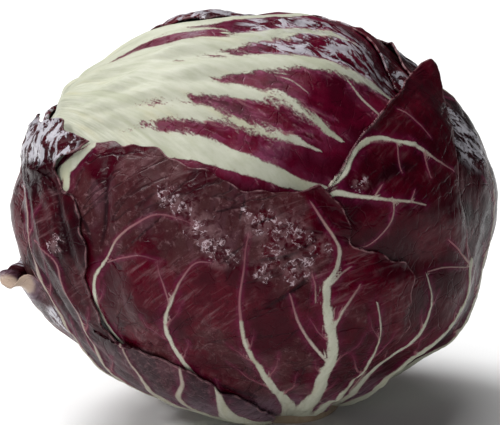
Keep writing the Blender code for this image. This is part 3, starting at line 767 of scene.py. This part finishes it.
def leaf_finish(name, wine=WINE, dark=WINE_DARK, bloom=BLOOM, flush=BLUSH, feather=0.4, drab=0.3, worn=0.5, lip=0.0):
    """Leaf skin: ivory ribs over a wine-red blade. Feather is how much the ribs' sides fray, drab how much thin
    film lies outside the patches of bloom, worn how strong the wrinkles, their painted shade and the painted sheen
    are, and lip how many mm of the edge show the leaf's pale inner side. Bruises and dry parts shine a little as wet
    or papery skin does, and their glints and silver sheen are painted into the colour too."""
    made, shader, place = start_finish(name)
    f = leaf_fields(made.node_tree, place)
    add_ribs(f, feather)
    add_wear(f, drab)
    add_net(f)
    blade = blade_colour(f, wine, dark, bloom, flush, feather, worn)
    skin = wear_and_painted_light(f, blend(f.ivory, blade, ivory_colour(f, flush)), lip)
    gloss = fade(f.mottle, 0.3, 0.7, 0.25, 0.38) + f.film * 0.15
    plug(shader, {
        "Base Color": skin,
        "Roughness": gloss - greater(f.bruise, f.crinkle) * 0.12 + f.ivory * 0.12,
        "Normal": derive("Bump", {"Strength": 0.5, "Distance": 1.0 * MM, "Height": leaf_relief(f, worn)}),
        "Coat Weight": greater(fade(f.rubbed, 0, 1, 0.0, 0.12), f.dry * 0.5),
        "Coat Roughness": 0.14,
        "IOR": 1.45,
        "Specular IOR Level": 0.11,
    })
    return made


left_leaf = {
    "left": [(-75, 14.7), (-67, 40), (-60, 60), (-60, 70), (-64, 80), (-68, 92), (-76, 104), (-85, 113), (-89, 120)],
    "tip": [(-89, 120), (-79, 119.5), (-70, 121.5), (-64, 123.5), (-56, 122), (-48, 121)],
    "right": [(-10, 14.7), (-4, 36), (-10, 46), (-15, 52), (-25, 62), (-37, 66), (-41, 77), (-41, 94), (-45, 103),
              (-54, 109), (-57, 114), (-52, 117), (-48, 121)],
    "fan": (-35, 8),
    "rolls": [(-66, 124, 18, 3.0), (-41, 90, 16, 2.0)],
    "lifts": [(-86, 117, 9, 2.0), (-66, 118, 9, 1.2)],
    "bloom": [(-44, 46, 26, 0.9), (-24, 44, 18, 0.9), (-52, 66, 12, 0.6), (-66, 80, 14, 0.4)],
    "bruise": [(-50, 92, 3, 0.7)],
    "crinkle": [(-80, 114, 9, 1.0), (-68, 117, 9, 1.0), (-58, 119, 7, 0.9), (-70, 106, 6, 0.7)],
    "creases": [
        ([(-62, 111), (-56, 107), (-50, 100), (-46, 92), (-42, 82)], 1.6, -1.0),
        ([(-66, 104), (-58, 96), (-53, 88), (-48, 78), (-44, 70)], 2.0, 1.1),
        ([(-70, 98), (-64, 88), (-58, 78), (-52, 66), (-46, 56)], 1.8, -0.9),
        ([(-69, 108), (-64, 109), (-59, 111)], 1.3, 1.6),
    ],
    "pale": [(-36, 18, 27, 0.8)],
    "fold": 0.4,
    "pucker": 0.5,
    "ribs": [
        rib([(-45, 20), (-52, 38), (-54, 48), (-50, 58), (-48, 68), (-47, 74)], 1.0, 0.25, 0.8, (0.1, 0.45)),
        rib([(-47, 74), (-49, 80), (-51, 88), (-54, 90), (-59, 91)], 0.3, 0.2, 0.3, (0.6, 1.0)),
        rib([(-38, 18), (-44, 34), (-42, 43), (-38, 51), (-37, 57), (-36, 66)], 13.0, 0.25, 1.1, (0.0, 0.5), flare=3),
        rib([(-30, 18), (-35, 36), (-29, 47), (-24, 53), (-22, 59), (-21, 64)], 1.0, 0.25, 0.5, (0.1, 0.5)),
        rib([(-20, 18), (-19, 32), (-16, 44), (-14, 53)], 10.0, 0.5, 1.0, (0.0, 0.2), flare=2),
        rib([(-54, 18), (-60, 48), (-60, 66), (-61, 78), (-62, 88), (-65, 98), (-70, 103), (-76, 102)], 1.7, 0.2, 1.0,
            (0.0, 0.7)),
    ],
}
left_leaf["ribs"] += side_veins(left_leaf["ribs"][0], 9, 13, 1)
left_leaf["ribs"] += side_veins(left_leaf["ribs"][5], 10, 12, 2)

left_finish = leaf_finish("left_leaf_skin", wine=rgb(56, 3, 15), dark=rgb(32, 2, 9), bloom=rgb(54, 42, 47), drab=0.1)
lay_leaf("left_leaf", "leaf_left", left_leaf, 150, 170, left_finish)

# The curled leaf: a short, low leaf at the lower left. Its top edge is dried and rolled over outwards, which shows
# its pale brown inner side.

curled_leaf = {
    "left": [(-125, 14.8), (-128, 34), (-128, 52), (-121, 66)],
    "tip": [(-121, 66), (-105, 74), (-88, 77), (-70, 77), (-54, 70)],
    "right": [(-70, 14.8), (-58, 34), (-53, 52), (-54, 70)],
    "fan": (-95, 8),
    "rolls": [(-80, 77, 26, 6.0)],
    "lifts": [(-80, 75, 12, 1.5)],
    "bloom": [(-90, 45, 20, 0.6)],
    "crinkle": [(-98, 73, 9, 0.9), (-66, 62, 7, 0.9)],
    "pale": [(-95, 20, 14, 0.6), (-76, 77, 8, 1.0)],
    "fold": 0.5,
    "pucker": 0.5,
    "ribs": [
        rib([(-100, 18), (-103, 42), (-104, 65)], 2.6, 0.4, 1.2),
        rib([(-85, 18), (-80, 42), (-78, 67)], 2.0, 0.3, 0.9),
        rib([(-115, 18), (-120, 40), (-120, 58)], 1.6, 0.3, 0.8),
    ],
}
for k in range(3):
    curled_leaf["ribs"] += side_veins(curled_leaf["ribs"][k], 9, 14, 10 + k)

curled_finish = leaf_finish("curled_leaf_skin", wine=rgb(58, 4, 16), dark=rgb(34, 3, 10), bloom=rgb(64, 44, 48),
                            lip=6.0)
lay_leaf("curled_leaf", "leaf_curl", curled_leaf, 100, 90, curled_finish)

# The front leaf: the broad leaf over the front. Handling has rubbed and bruised it: a crushed streak runs down
# across it, two patches are crumpled and wet, with painted glints, and the rest is clouded with grey-brown bloom.

front_leaf = {
    "left": [(-35, 15.0), (-50, 40), (-58, 60), (-63, 85), (-63, 100), (-60, 111)],
    "tip": [(-60, 111), (-55, 118), (-47, 121.5), (-38, 123), (-20, 120), (-5, 114), (8, 111.5), (16, 113.5)],
    "right": [(25, 15.0), (28, 42), (33, 53), (37.5, 68), (39, 80), (38, 89), (30, 93), (23.5, 96), (22.5, 102),
              (19.5, 109), (16, 113.5)],
    "fan": (2, 10),
    "rolls": [(18, 111, 9, 2.5), (-20, 120, 20, 1.2), (34, 92, 10, 1.8)],
    "bloom": [(-45, 104, 13, 0.85), (-27, 110, 15, 0.9), (-34, 97, 10, 0.8), (-16, 98, 8, 0.75), (-5, 107, 11, 0.95),
              (6, 108, 8, 0.8), (-2, 99, 8, 0.8), (9, 91, 10, 0.7), (-2, 60, 15, 0.65), (9, 66, 11, 0.6),
              (3, 46, 14, 0.65), (24, 48, 9, 0.5), (-31, 78, 9, 0.6), (-26, 62, 9, 0.6), (-10, 70, 9, 0.55),
              (22, 78, 6, 0.5)],
    "bruise": [(-20, 110, 4, 0.6), (-16, 107, 4, 0.75), (-12, 103, 4.2, 0.75), (-9, 99, 4.2, 0.75), (-7, 95, 4, 0.7),
               (2, 104, 6, 0.65), (8, 101, 6, 0.7), (5, 97, 5, 0.6), (2, 92, 4, 0.6), (10, 92, 5, 0.65),
               (15, 97, 5, 0.5)],
    "creases": [
        ([(-40, 118), (-38, 112), (-37, 105), (-37, 97), (-38.5, 89)], 1.3, -1.0),
        ([(-36, 117), (-34.5, 111), (-34, 105), (-34.5, 97)], 1.2, 0.5),
        ([(-49, 108), (-45, 102), (-42, 99), (-40, 95), (-38.5, 91)], 1.1, -0.8),
        ([(-3, 93), (3, 94.5), (7, 95), (12, 97.5), (17, 101)], 0.9, -1.0),
        ([(18, 93), (14, 90.5), (8, 85.5), (3, 82), (-2, 78)], 0.9, -0.9),
        ([(-9, 110), (-8.5, 107), (-4, 108), (-1, 108.5)], 0.5, -0.3),
        ([(-2, 100), (1.5, 104), (6, 106), (9, 109)], 0.5, -0.3),
        ([(-2, 100), (-3, 105), (-2, 110), (-3, 114)], 0.5, -0.3),
        ([(-20, 111), (-20.5, 106), (-26, 99), (-32, 92)], 0.5, -0.3),
        ([(-3, 104), (4, 99), (12, 96), (20, 93)], 1.2, 0.6),
        ([(-20, 58), (-12, 50), (-4, 44), (2, 40)], 1.6, -0.6),
        ([(14, 108), (16, 103), (19, 99)], 1.0, -0.5),
    ],
    "pale": [(6, 18, 24, 0.9)],
    "fold": 0.6,
    "pucker": 0.7,
    "pleat": 0.6,
    "ribs": [
        rib([(-10, 20), (-28, 46), (-37, 62), (-40, 73), (-40, 80), (-39, 85), (-36, 90)], 1.7, 0.45, 1.1,
            (0.0, 0.1)),
        rib([(-52, 108), (-53, 112), (-51, 116), (-48.5, 120.5)], 1.7, 1.3, 0.8, (0.0, 0.0)),
        rib([(-55.5, 111), (-53, 113.5), (-51, 117)], 2.6, 1.9, 0.8, (0.0, 0.0)),
        rib([(-36, 90), (-32, 97), (-27, 102), (-22, 105), (-17, 104.5), (-13, 103)], 0.45, 0.15, 0.4, (0.3, 1.5)),
        rib([(-34.5, 90.5), (-29, 93), (-25.5, 94), (-20, 93)], 0.25, 0.1, 0.2, (0.7, 1.7)),
        rib([(-6, 20), (-18, 48), (-21, 62), (-21, 71), (-19.5, 79), (-18, 83)], 1.2, 0.4, 0.9, (0.1, 0.2)),
        rib([(-18, 83), (-15.5, 89), (-12, 93.5), (-9, 93.5)], 0.4, 0.15, 0.35, (0.4, 1.3)),
        rib([(-18.5, 82.5), (-19.5, 86.5), (-21, 92)], 0.28, 0.12, 0.2, (0.7, 1.5)),
        rib([(5, 20), (5, 38), (2.5, 48), (0, 58), (-2, 66), (-3, 73), (-3, 78)], 2.0, 0.4, 1.1, (0.0, 0.25)),
        rib([(-3, 78), (-3, 84), (-2, 92), (-1.5, 98), (-1, 101)], 0.32, 0.2, 0.35, (0.9, 1.45)),
        rib([(9, 20), (12.5, 38), (15, 47), (16, 56), (17.5, 64), (17, 74), (16, 80), (16, 88)], 2.4, 0.9, 1.5,
            (0.0, 0.1)),
        rib([(16, 88), (19, 92.5), (19.5, 96), (18.5, 99), (16, 104), (13.5, 109)], 0.7, 0.22, 0.5, (0.1, 0.9)),
        rib([(17.5, 76), (19.5, 80), (21.5, 83), (24, 86)], 0.5, 0.22, 0.4, (0.2, 0.8)),
        rib([(17, 87.5), (19.5, 89.5), (22, 91)], 0.45, 0.22, 0.3, (0.2, 0.8)),
        rib([(13.5, 83), (13.5, 87.5), (13, 90)], 0.3, 0.25, 0.2, (0.5, 1.0)),
        rib([(16.5, 64), (13, 70), (11, 74), (9.5, 78), (8, 85)], 0.5, 0.22, 0.3, (0.15, 0.9)),
        rib([(18, 20), (22, 34), (25, 42), (28, 50), (29, 61), (29.5, 71), (28, 81)], 1.2, 0.15, 0.9, (0.0, 0.1)),
    ],
}
for k, spacing in ((0, 8), (5, 8), (8, 7), (10, 8), (16, 9)):
    front_leaf["ribs"] += side_veins(front_leaf["ribs"][k], spacing, 10, 20 + k, 0.25, 0.35)

front_finish = leaf_finish("front_leaf_skin", wine=rgb(74, 0, 20), dark=rgb(50, 0, 13), drab=0.05, worn=0.55)
lay_leaf("front_leaf", "leaf_front", front_leaf, 215, 215, front_finish)

# The back left leaf: the leaf round the back left, with a strong midrib and three more ribs beside it. Bloom dulls
# it in patches, and its dry upper edge is folded, with a painted silver sheen.

back_left_leaf = {
    "left": [(-175, 15.2), (-192, 40), (-203, 70), (-206, 100), (-196, 128)],
    "tip": [(-196, 128), (-180, 137), (-160, 140), (-136, 134), (-115, 122), (-94, 112)],
    "right": [(-110, 15.2), (-85, 40), (-68, 60), (-58, 80), (-57, 94), (-70, 106), (-94, 112)],
    "fan": (-142, 8),
    "rolls": [(-150, 138, 40, 2.0)],
    "bloom": [(-120, 70, 26, 0.5), (-160, 60, 24, 0.6), (-170, 110, 20, 0.4)],
    "bruise": [(-140, 96, 6, 0.4)],
    "crinkle": [(-98, 122, 12, 0.7), (-150, 138, 12, 0.5)],
    "pale": [(-142, 20, 18, 0.6)],
    "fold": 0.5,
    "pucker": 0.6,
    "ribs": [
        rib([(-142, 18), (-152, 50), (-158, 80), (-156, 110), (-150, 132)], 4.2, 0.5, 1.8),
        rib([(-136, 18), (-132, 50), (-126, 80), (-122, 110)], 2.2, 0.35, 1.2, (0.0, 0.4)),
        rib([(-150, 18), (-176, 50), (-188, 80), (-190, 105)], 2.2, 0.35, 1.2, (0.0, 0.4)),
        rib([(-128, 18), (-108, 50), (-96, 80), (-92, 102)], 1.8, 0.3, 1.0, (0.0, 0.5)),
    ],
}
for k in range(4):
    back_left_leaf["ribs"] += side_veins(back_left_leaf["ribs"][k], 8, 20, 40 + k, 0.4, 0.25)

back_left_finish = leaf_finish("back_left_leaf_skin", drab=0.35)
lay_leaf("back_left_leaf", "leaf_back_left", back_left_leaf, 150, 130, back_left_finish)

# The right leaf: the clean, saturated leaf that wraps the right side. Its upper left edge is rolled back in a smooth
# lip, and one rib bends up and over it in an S.

right_leaf = {
    "left": [(25, 15.4), (12, 45), (6, 70), (6, 90), (11, 104), (18, 112)],
    "tip": [(18, 112), (21.5, 115.5), (26, 121.5), (32, 126.5), (44, 132.5), (55, 135.5), (67, 138), (80, 138.5),
            (92, 136)],
    "right": [(75, 15.4), (67, 35), (66, 50), (69, 66), (68, 76), (63, 85), (59, 93), (57, 103), (60, 113), (68, 122),
              (79, 129), (92, 136)],
    "fan": (38, 8),
    "rolls": [(40, 131, 26, 3.5)],
    "lifts": [(92, 135, 10, 4.5), (62, 133, 12, 1.2)],
    "flutter": 0.1,
    "wave": 0.25,
    "ruffle": 0.35,
    "creases": [
        ([(22, 113.5), (26, 117), (30, 120), (36, 121), (42, 119)], 1.6, 0.5),
        ([(26, 108), (32, 113), (40, 115), (48, 112)], 3.0, -0.8),
        ([(88, 134), (78, 124), (70, 112), (66, 98)], 3.0, 0.9),
    ],
    "bloom": [(52, 52, 9, 0.4), (36, 128, 5, 0.4)],
    "bruise": [(27, 113, 2.5, 0.7)],
    "pale": [(42, 18, 23, 0.8)],
    "fold": 0.6,
    "pucker": 0.45,
    "pleat": 0.4,
    "ribs": [
        rib([(34, 18), (35, 40), (36, 48), (40, 57), (45, 67), (46, 76), (44.5, 84.5)], 1.6, 0.15, 1.2, (0.0, 0.1)),
        rib([(30, 18), (33, 50), (35.5, 64), (37, 73), (36, 84), (36, 90)], 0.4, 0.22, 0.4, (0.4, 1.0)),
        rib([(48, 18), (50, 44), (53, 62), (58, 68), (62, 74), (61.5, 81), (63, 84)], 1.6, 0.9, 1.5, (0.0, 0.0)),
        rib([(61.5, 83), (56, 88.5), (51, 93)], 0.45, 0.22, 0.3, (0.5, 1.0)),
        rib([(60.5, 84), (60, 88), (59, 93)], 0.25, 0.2, 0.2, (0.8, 1.0)),
        rib([(60, 83), (51, 85), (45.5, 85)], 0.22, 0.2, 0.2, (0.5, 0.7)),
        rib([(17, 112.5), (20, 114), (23, 116), (25, 119), (28, 122), (32, 123.5), (36, 123.5), (41, 121.5),
             (45, 120)], 0.85, 0.6, 1.0, (0.0, 0.05)),
        rib([(45, 120), (48, 117), (51, 114.5), (56, 111)], 0.5, 0.2, 0.4, (0.2, 0.9)),
        rib([(40, 121.5), (39, 118.5), (38.5, 114)], 0.22, 0.2, 0.2, (0.7, 1.0)),
        rib([(47, 118), (46.5, 111)], 0.22, 0.2, 0.2, (0.8, 1.0)),
        rib([(47, 130), (49, 127.5), (52, 121)], 0.25, 0.2, 0.2, (0.8, 1.0)),
        rib([(16, 108.5), (20, 111), (24, 110), (29, 108.5), (34, 107), (38, 106), (42, 104.5)], 0.95, 0.22, 0.9,
            (0.0, 0.4)),
        rib([(29, 108.5), (32, 111.5)], 0.25, 0.2, 0.2, (0.4, 1.0)),
        rib([(33.5, 107.5), (33.5, 104.5), (31.5, 100), (27, 96), (20.5, 96)], 0.22, 0.2, 0.2, (0.5, 0.9)),
        rib([(38, 106), (40, 108.5)], 0.22, 0.2, 0.2, (0.5, 1.0)),
    ],
}
for k, spacing in ((0, 9), (2, 9), (6, 11)):
    right_leaf["ribs"] += side_veins(right_leaf["ribs"][k], spacing, 9, 60 + k, 0.22, 0.3)

right_finish = leaf_finish("right_leaf_skin", wine=rgb(66, 0, 17), dark=rgb(44, 0, 11), drab=0.06, worn=0.25)
lay_leaf("right_leaf", "leaf_right", right_leaf, 190, 210, right_finish)

# The back right leaf: the leaf round the back right, which shows as a crinkled sliver past the right leaf. It is
# the darkest leaf, and its upper edge is dry and folded.

back_right_leaf = {
    "left": [(70, 15.8), (54, 45), (47, 70), (49, 95), (56, 115), (66, 128)],
    "tip": [(66, 128), (82, 137), (100, 142), (125, 141), (152, 129)],
    "right": [(135, 15.8), (152, 45), (163, 75), (164, 105), (152, 129)],
    "fan": (102, 8),
    "rolls": [(110, 142, 30, 2.0)],
    "ruffle": 0.4,
    "bloom": [(95, 60, 22, 0.5), (130, 90, 22, 0.5)],
    "bruise": [(110, 100, 6, 0.4)],
    "crinkle": [(76, 118, 14, 0.8), (72, 92, 8, 0.4), (110, 138, 12, 0.5)],
    "pale": [(102, 20, 18, 0.6)],
    "fold": 0.4,
    "pucker": 0.6,
    "ribs": [
        rib([(100, 18), (104, 50), (108, 80), (106, 110), (100, 132)], 4.0, 0.5, 1.8),
        rib([(92, 18), (84, 50), (80, 80), (78, 108)], 2.0, 0.35, 1.1, (0.0, 0.4)),
        rib([(108, 18), (124, 50), (134, 80), (134, 112)], 2.2, 0.35, 1.2, (0.0, 0.4)),
        rib([(114, 18), (140, 50), (150, 80), (150, 102)], 1.6, 0.3, 1.0, (0.0, 0.5)),
    ],
}
for k in range(4):
    back_right_leaf["ribs"] += side_veins(back_right_leaf["ribs"][k], 8, 19, 80 + k, 0.4, 0.25)

back_right_finish = leaf_finish("back_right_leaf_skin", wine=rgb(50, 2, 14), dark=rgb(28, 2, 8),
                                bloom=rgb(36, 16, 21), drab=0.15)
lay_leaf("back_right_leaf", "leaf_back_right", back_right_leaf, 130, 130, back_right_finish)

# The back top leaf: it comes up the back and folds forward over the top, where its edge is dry and creased, with a
# painted silver sheen. A strong midrib and three more ribs run up it.

back_top_leaf = {
    "left": [(124, 16.2), (118, 50), (104, 85), (84, 112), (72, 128), (68, 139)],
    "tip": [(68, 139), (80, 146), (100, 152), (120, 156), (150, 158), (180, 161), (205, 166), (226, 169), (242, 166),
            (240, 159), (233, 151), (229, 144), (228, 138)],
    "right": [(208, 16.2), (222, 50), (232, 85), (236, 110), (234, 126), (228, 138)],
    "fan": (172, 8),
    "ruffle": 0.3,
    "bloom": [(180, 80, 26, 0.5), (200, 120, 20, 0.5), (150, 130, 20, 0.4)],
    "bruise": [(170, 110, 6, 0.4)],
    "crinkle": [(74, 142, 12, 0.7), (205, 162, 14, 1.0), (232, 164, 12, 1.0), (150, 160, 16, 1.0)],
    "pale": [(172, 20, 18, 0.6)],
    "fold": 0.5,
    "pucker": 0.6,
    "ribs": [
        rib([(174, 20), (178, 60), (180, 100), (180, 140), (180, 154)], 4.2, 0.5, 1.8),
        rib([(182, 20), (202, 60), (212, 100), (218, 130), (228, 150)], 2.4, 0.35, 1.3, (0.0, 0.4)),
        rib([(166, 20), (154, 60), (142, 100), (130, 135), (112, 152)], 2.4, 0.35, 1.3, (0.0, 0.4)),
        rib([(158, 20), (136, 60), (119, 95), (100, 128)], 1.8, 0.3, 1.0, (0.0, 0.5)),
    ],
}
for k in range(4):
    back_top_leaf["ribs"] += side_veins(back_top_leaf["ribs"][k], 8, 20, 100 + k, 0.4, 0.25)

back_top_finish = leaf_finish("back_top_leaf_skin", drab=0.2)
lay_leaf("back_top_leaf", "leaf_back_top", back_top_leaf, 170, 130, back_top_finish)

# The top leaf: the young, pale-based leaf that crosses the top from left to right. Its broad ivory ribs run together
# on the left and fan apart to the right, and wine-red blade with frayed, fibrous ends fills the gaps between them.

top_leaf = {
    "left": [(-140, 17.0), (-146, 60), (-143, 95), (-138, 120), (-143, 135), (-160, 144), (180, 147), (150, 146),
             (122, 142)],
    "tip": [(122, 142), (100, 138), (80, 131), (63, 120), (46, 106)],
    "right": [(-98, 17.0), (-95, 60), (-86, 88), (-72, 101), (-50, 105), (-28, 109), (-5, 104), (20, 100), (46, 106)],
    "fan": (-100, 112),
    "bloom": [(6, 123, 8, 0.5), (0, 119, 6, 0.4)],
    "crinkle": [(56, 148, 12, 1.0), (46, 155, 12, 0.9), (30, 162, 14, 0.9), (10, 155, 6, 0.5), (-40, 160, 10, 0.4)],
    "creases": [
        ([(-84, 122), (-77, 133), (-70, 143), (-58, 154)], 3.4, 0.8),
        ([(-62, 128), (-51, 140), (-42, 152), (-14, 164)], 3.4, 0.9),
        ([(-50, 128), (-38, 138), (-22, 147), (2, 152)], 3.2, 0.7),
        ([(-92, 124), (-88, 138), (-84, 150), (-70, 162)], 3.4, 0.8),
        ([(-70, 118), (-48, 126), (-28, 129), (-10, 128)], 3.2, 0.8),
        ([(20, 152), (34, 151), (48, 147), (58, 142)], 1.0, -0.9),
        ([(24, 156), (40, 155), (54, 151), (64, 146)], 1.1, 1.1),
        ([(14, 160), (36, 161), (56, 157), (68, 151)], 1.0, -1.0),
        ([(0, 164), (30, 167), (60, 163), (76, 156)], 1.2, 1.2),
        ([(-30, 120), (-46, 117), (-64, 113)], 1.2, -0.6),
    ],
    "fold": 0.25,
    "pucker": 0.12,
    "ribs": [
        rib([(-108, 108), (-90, 122), (-64, 134), (-42, 143), (-14, 147.5), (1, 149), (18, 148.5), (38, 144),
             (53, 137.5), (62, 132)], 11.0, 1.0, 2.0, (0.0, 0.0), 3.4),
        rib([(-104, 106), (-80, 122), (-55, 132), (-26, 139.5), (-11, 140.5), (-2, 139.5), (5.5, 138), (12, 135),
             (17, 131), (25, 125)], 10.0, 0.35, 1.3, (0.0, 0.1), 2.6),
        rib([(-100, 104), (-76, 119), (-50, 128), (-25, 133), (-10, 133), (-4, 131), (5, 127), (12, 125.5),
             (18, 123)], 10.0, 0.3, 1.1, (0.0, 0.15), 2.6),
        rib([(-96, 102), (-72, 116), (-50, 122), (-30, 124), (-16, 123.5), (-4, 120), (6, 116.5), (14, 113.5),
             (20, 111)], 10.0, 1.4, 1.7, (0.0, 0.0), 2.6),
        rib([(-110, 112), (-92, 128), (-68, 142), (-39, 152), (-15, 157), (16, 161), (45, 160), (58, 156), (64, 153)],
            11.0, 0.8, 1.8, (0.0, 0.0), 2.4),
        rib([(-114, 116), (-100, 136), (-82, 152), (-55, 165), (-25, 171), (60, 172), (90, 166)], 10.0, 1.0, 1.6,
            (0.0, 0.0), 2.4),
        rib([(36, 142), (37.5, 136.5), (39.5, 132.5), (42, 128)], 0.5, 0.25, 0.3, (0.1, 0.6)),
        rib([(8, 144), (13.5, 142), (17.5, 138)], 0.25, 0.2, 0.2, (0.2, 0.7)),
        rib([(-90, 116), (-60, 118), (-40, 119)], 12.0, 5.0, 0.6, (0.0, 0.0), 2.0),
        rib([(-100, 122), (-78, 136), (-52, 147), (-28, 152), (-10, 152)], 6.0, 0.3, 0.5, (0.0, 0.0), 3.0),
        rib([(-106, 130), (-88, 146), (-66, 157), (-40, 161), (-20, 162)], 6.0, 0.3, 0.5, (0.0, 0.0), 3.0),
    ],
}
for k in (0, 1, 2, 4):
    top_leaf["ribs"] += side_veins(top_leaf["ribs"][k], 6, 10, 120 + k, 0.22, 0.6)

top_finish = leaf_finish("top_leaf_skin", wine=rgb(90, 2, 32), dark=rgb(60, 1, 20), bloom=rgb(110, 56, 84),
                         flush=rgb(132, 58, 90), feather=1.7, drab=0.1, worn=0.1)
lay_leaf("top_leaf", "leaf_top", top_leaf, 215, 215, top_finish)

# The heart: the tight inner leaves, one dense bud. Only slivers of it show, between the feet of the outer leaves,
# so its solid stays as it is and only gets a skin.


def bud_finish(name):
    """Wine red clouded with ivory: noise drawn out along the head's axis, which also raises the skin a little."""
    made, shader, place = start_finish(name)
    streak = grain(stretched(place, z=0.2), 2.0, 4.0, 0.6)
    skin = blend(fade(grain(place, 9, 3.0, 0.5), 0.4, 0.6), WINE, IVORY_SHADE)
    skin = blend(fade(streak, 0.45, 0.7, 0.0, 0.6), skin, BLUSH)
    bump = derive("Bump", {"Strength": 0.5, "Distance": 0.4 * MM, "Height": streak})
    plug(shader, {"Base Color": skin, "Normal": bump, "Roughness": 0.45})
    return made


heart_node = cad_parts["heart"]
for place in heart_node.material_slots:
    place.material = bud_finish("heart_skin")

# The cut stem: the white core of the plant, sliced off flat. Fibrous and ivory, with a ring of vessels in the cut,
# a rim that has browned a little, and leaf scars round its side.

VESSELS = rgb(176, 158, 112)
BROWNED = rgb(168, 122, 84)
SCARS_AROUND = 9
SCAR_DEPTH = 0.25  # in mm
SCAR_RISE = 0.9  # radians that the row of scars turns with each mm up
STEM_AROUND = 128
STEM_RINGS = 60
# radius and height in mm, from the middle of the cut round to the middle of the top
STEM_PROFILE = [(0.02, 0.0), (13.2, 0.0), (13.9, 0.25), (14.4, 0.9), (14.2, 5.0), (12.6, 11.0), (10.4, 17.0),
                (8.0, 23.0), (7.0, 23.5), (0.02, 23.5)]


def stem_points():
    """The profile's points joined straight and read at even shares, carried round the axis. Its radius waves three
    and five times a turn, as the solid's does, and the side above the rim has low scars in rows."""
    profile = np.array(STEM_PROFILE)
    run = np.concatenate([[0], np.cumsum(np.linalg.norm(np.diff(profile, axis=0), axis=1))])
    at = np.unique(np.concatenate([np.linspace(0, run[-1], STEM_RINGS), run]))
    radius = np.interp(at, run, profile[:, 0])[:, None]
    height = np.interp(at, run, profile[:, 1])[:, None]
    angle = np.arange(STEM_AROUND) * 2 * math.pi / STEM_AROUND
    radius = radius * (1 + 0.012 * np.sin(3 * angle) + 0.01 * np.sin(5 * angle + 1))
    side = ease((height - 1) / 2) * ease((22 - height) / 2)
    radius = radius + SCAR_DEPTH * side * (np.sin(SCARS_AROUND * angle + SCAR_RISE * height) - 1)
    return np.stack([radius * np.cos(angle), radius * np.sin(angle), height + 0 * angle], -1) * MM


def stem_finish():
    """Ivory fibres by noise drawn out upwards; on the cut, rings by the distance from the axis, and brown at the
    rim."""
    made, shader, place = start_finish("cut_stem_flesh")
    fibre = grain(stretched(place, z=0.15), 1.4, 4.0, 0.6)
    cloud = grain(place, 5, 3.0, 0.6)
    across = derive("VectorMath", {0: stretched(place, z=0.0)}, "Value", operation="LENGTH")
    across = across + (cloud - 0.5) * (3 * MM)
    ring = fade(across, 7.5 * MM, 8.5 * MM) * fade(across, 10 * MM, 9 * MM)
    flesh = blend(fade(fibre, 0.35, 0.7), IVORY, IVORY_SHADE)
    flesh = blend(ring * 0.5, flesh, VESSELS)
    flesh = blend(fade(across, 11.5 * MM, 14.5 * MM, 0.0, 0.55), flesh, BROWNED)
    bump = derive("Bump", {"Strength": 0.6, "Distance": 0.4 * MM, "Height": fibre + cloud * 0.6})
    plug(shader, {"Base Color": flesh, "Normal": bump, "Roughness": 0.55})
    return made


stem_rings = stem_points()
ring_count = len(stem_rings)
stem_grid = np.arange(ring_count * STEM_AROUND).reshape(ring_count, STEM_AROUND)
stem_next = np.roll(stem_grid, -1, axis=1)
stem_faces = np.stack([stem_grid[:-1], stem_grid[1:], stem_next[1:], stem_next[:-1]], -1).reshape(-1, 4)
cut_stem = add_mesh("cut_stem_core", stem_rings.reshape(-1, 3), stem_faces, stem_finish())
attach(cut_stem, "root")
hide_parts("stump")

# The stage: a near-white floor and four lamps. A big soft one hangs overhead, a small one behind lights the rims,
# and two weak ones stand in front. The camera is at the photograph's height and looks 15 degrees down.


def soft_lamp(name, place, aim, size, power):
    """A white area lamp that faces its aim."""
    lamp = bpy.data.lights.new(name, "AREA")
    lamp.shape = "RECTANGLE"
    lamp.size, lamp.size_y = size
    lamp.energy = power
    made = bpy.data.objects.new(name, lamp)
    bpy.context.scene.collection.objects.link(made)
    made.location = place
    heading = aim - np.array(place)
    yaw = math.atan2(heading[1], heading[0])
    pitch = math.atan2(heading[2], math.hypot(heading[0], heading[1]))
    made.rotation_euler = (math.pi / 2 + pitch, 0, yaw - math.pi / 2)


floor_finish = bpy.data.materials.new("floor_white")
floor_finish.use_nodes = True
plug(floor_finish.node_tree.nodes["Principled BSDF"], {"Base Color": (0.97, 0.97, 0.97, 1), "Roughness": 0.8})
FLOOR_HALF = 4.0
floor_points = np.array([[-1, -1, 0], [1, -1, 0], [1, 1, 0], [-1, 1, 0]]) * FLOOR_HALF
floor = add_mesh("floor", floor_points, np.array([[0, 1, 2, 3]]), floor_finish, smooth=False)

soft_lamp("overhead", (-0.4, 0.1, 1.9), HEAD_CENTRE, (1.8, 1.8), 29.0)
soft_lamp("behind", (-0.6, 0.5, 1.0), HEAD_CENTRE, (0.5, 0.5), 11.0)
soft_lamp("left_front", (-0.9, -0.7, 0.9), HEAD_CENTRE, (0.2, 0.2), 6.5)
soft_lamp("low_front", (-0.2, -1.2, 0.3), HEAD_CENTRE, (0.9, 0.4), 2.0)

world = bpy.data.worlds.new("studio")
world.use_nodes = True
plug(world.node_tree.nodes["Background"], {"Color": (0.95, 0.97, 1.0, 1), "Strength": 0.05})
bpy.context.scene.world = world
bpy.context.scene.view_settings.view_transform = "Standard"

CAMERA_ELEVATION = math.radians(15)
CAMERA_DISTANCE = 0.7
LOOK_AT = np.array([-0.0098, 0.0, 0.055])
FRAME_WIDTH = 0.13375  # what the picture spans across at the head's distance
SENSOR = 36.0
camera = bpy.data.cameras.new("camera")
camera.sensor_width = SENSOR
camera.lens = SENSOR * CAMERA_DISTANCE / FRAME_WIDTH
camera.clip_start = 0.01
eye = bpy.data.objects.new("camera", camera)
bpy.context.scene.collection.objects.link(eye)
eye.location = LOOK_AT + CAMERA_DISTANCE * np.array([0, -math.cos(CAMERA_ELEVATION), math.sin(CAMERA_ELEVATION)])
eye.rotation_euler = (math.pi / 2 - CAMERA_ELEVATION, 0, 0)
bpy.context.scene.camera = eye
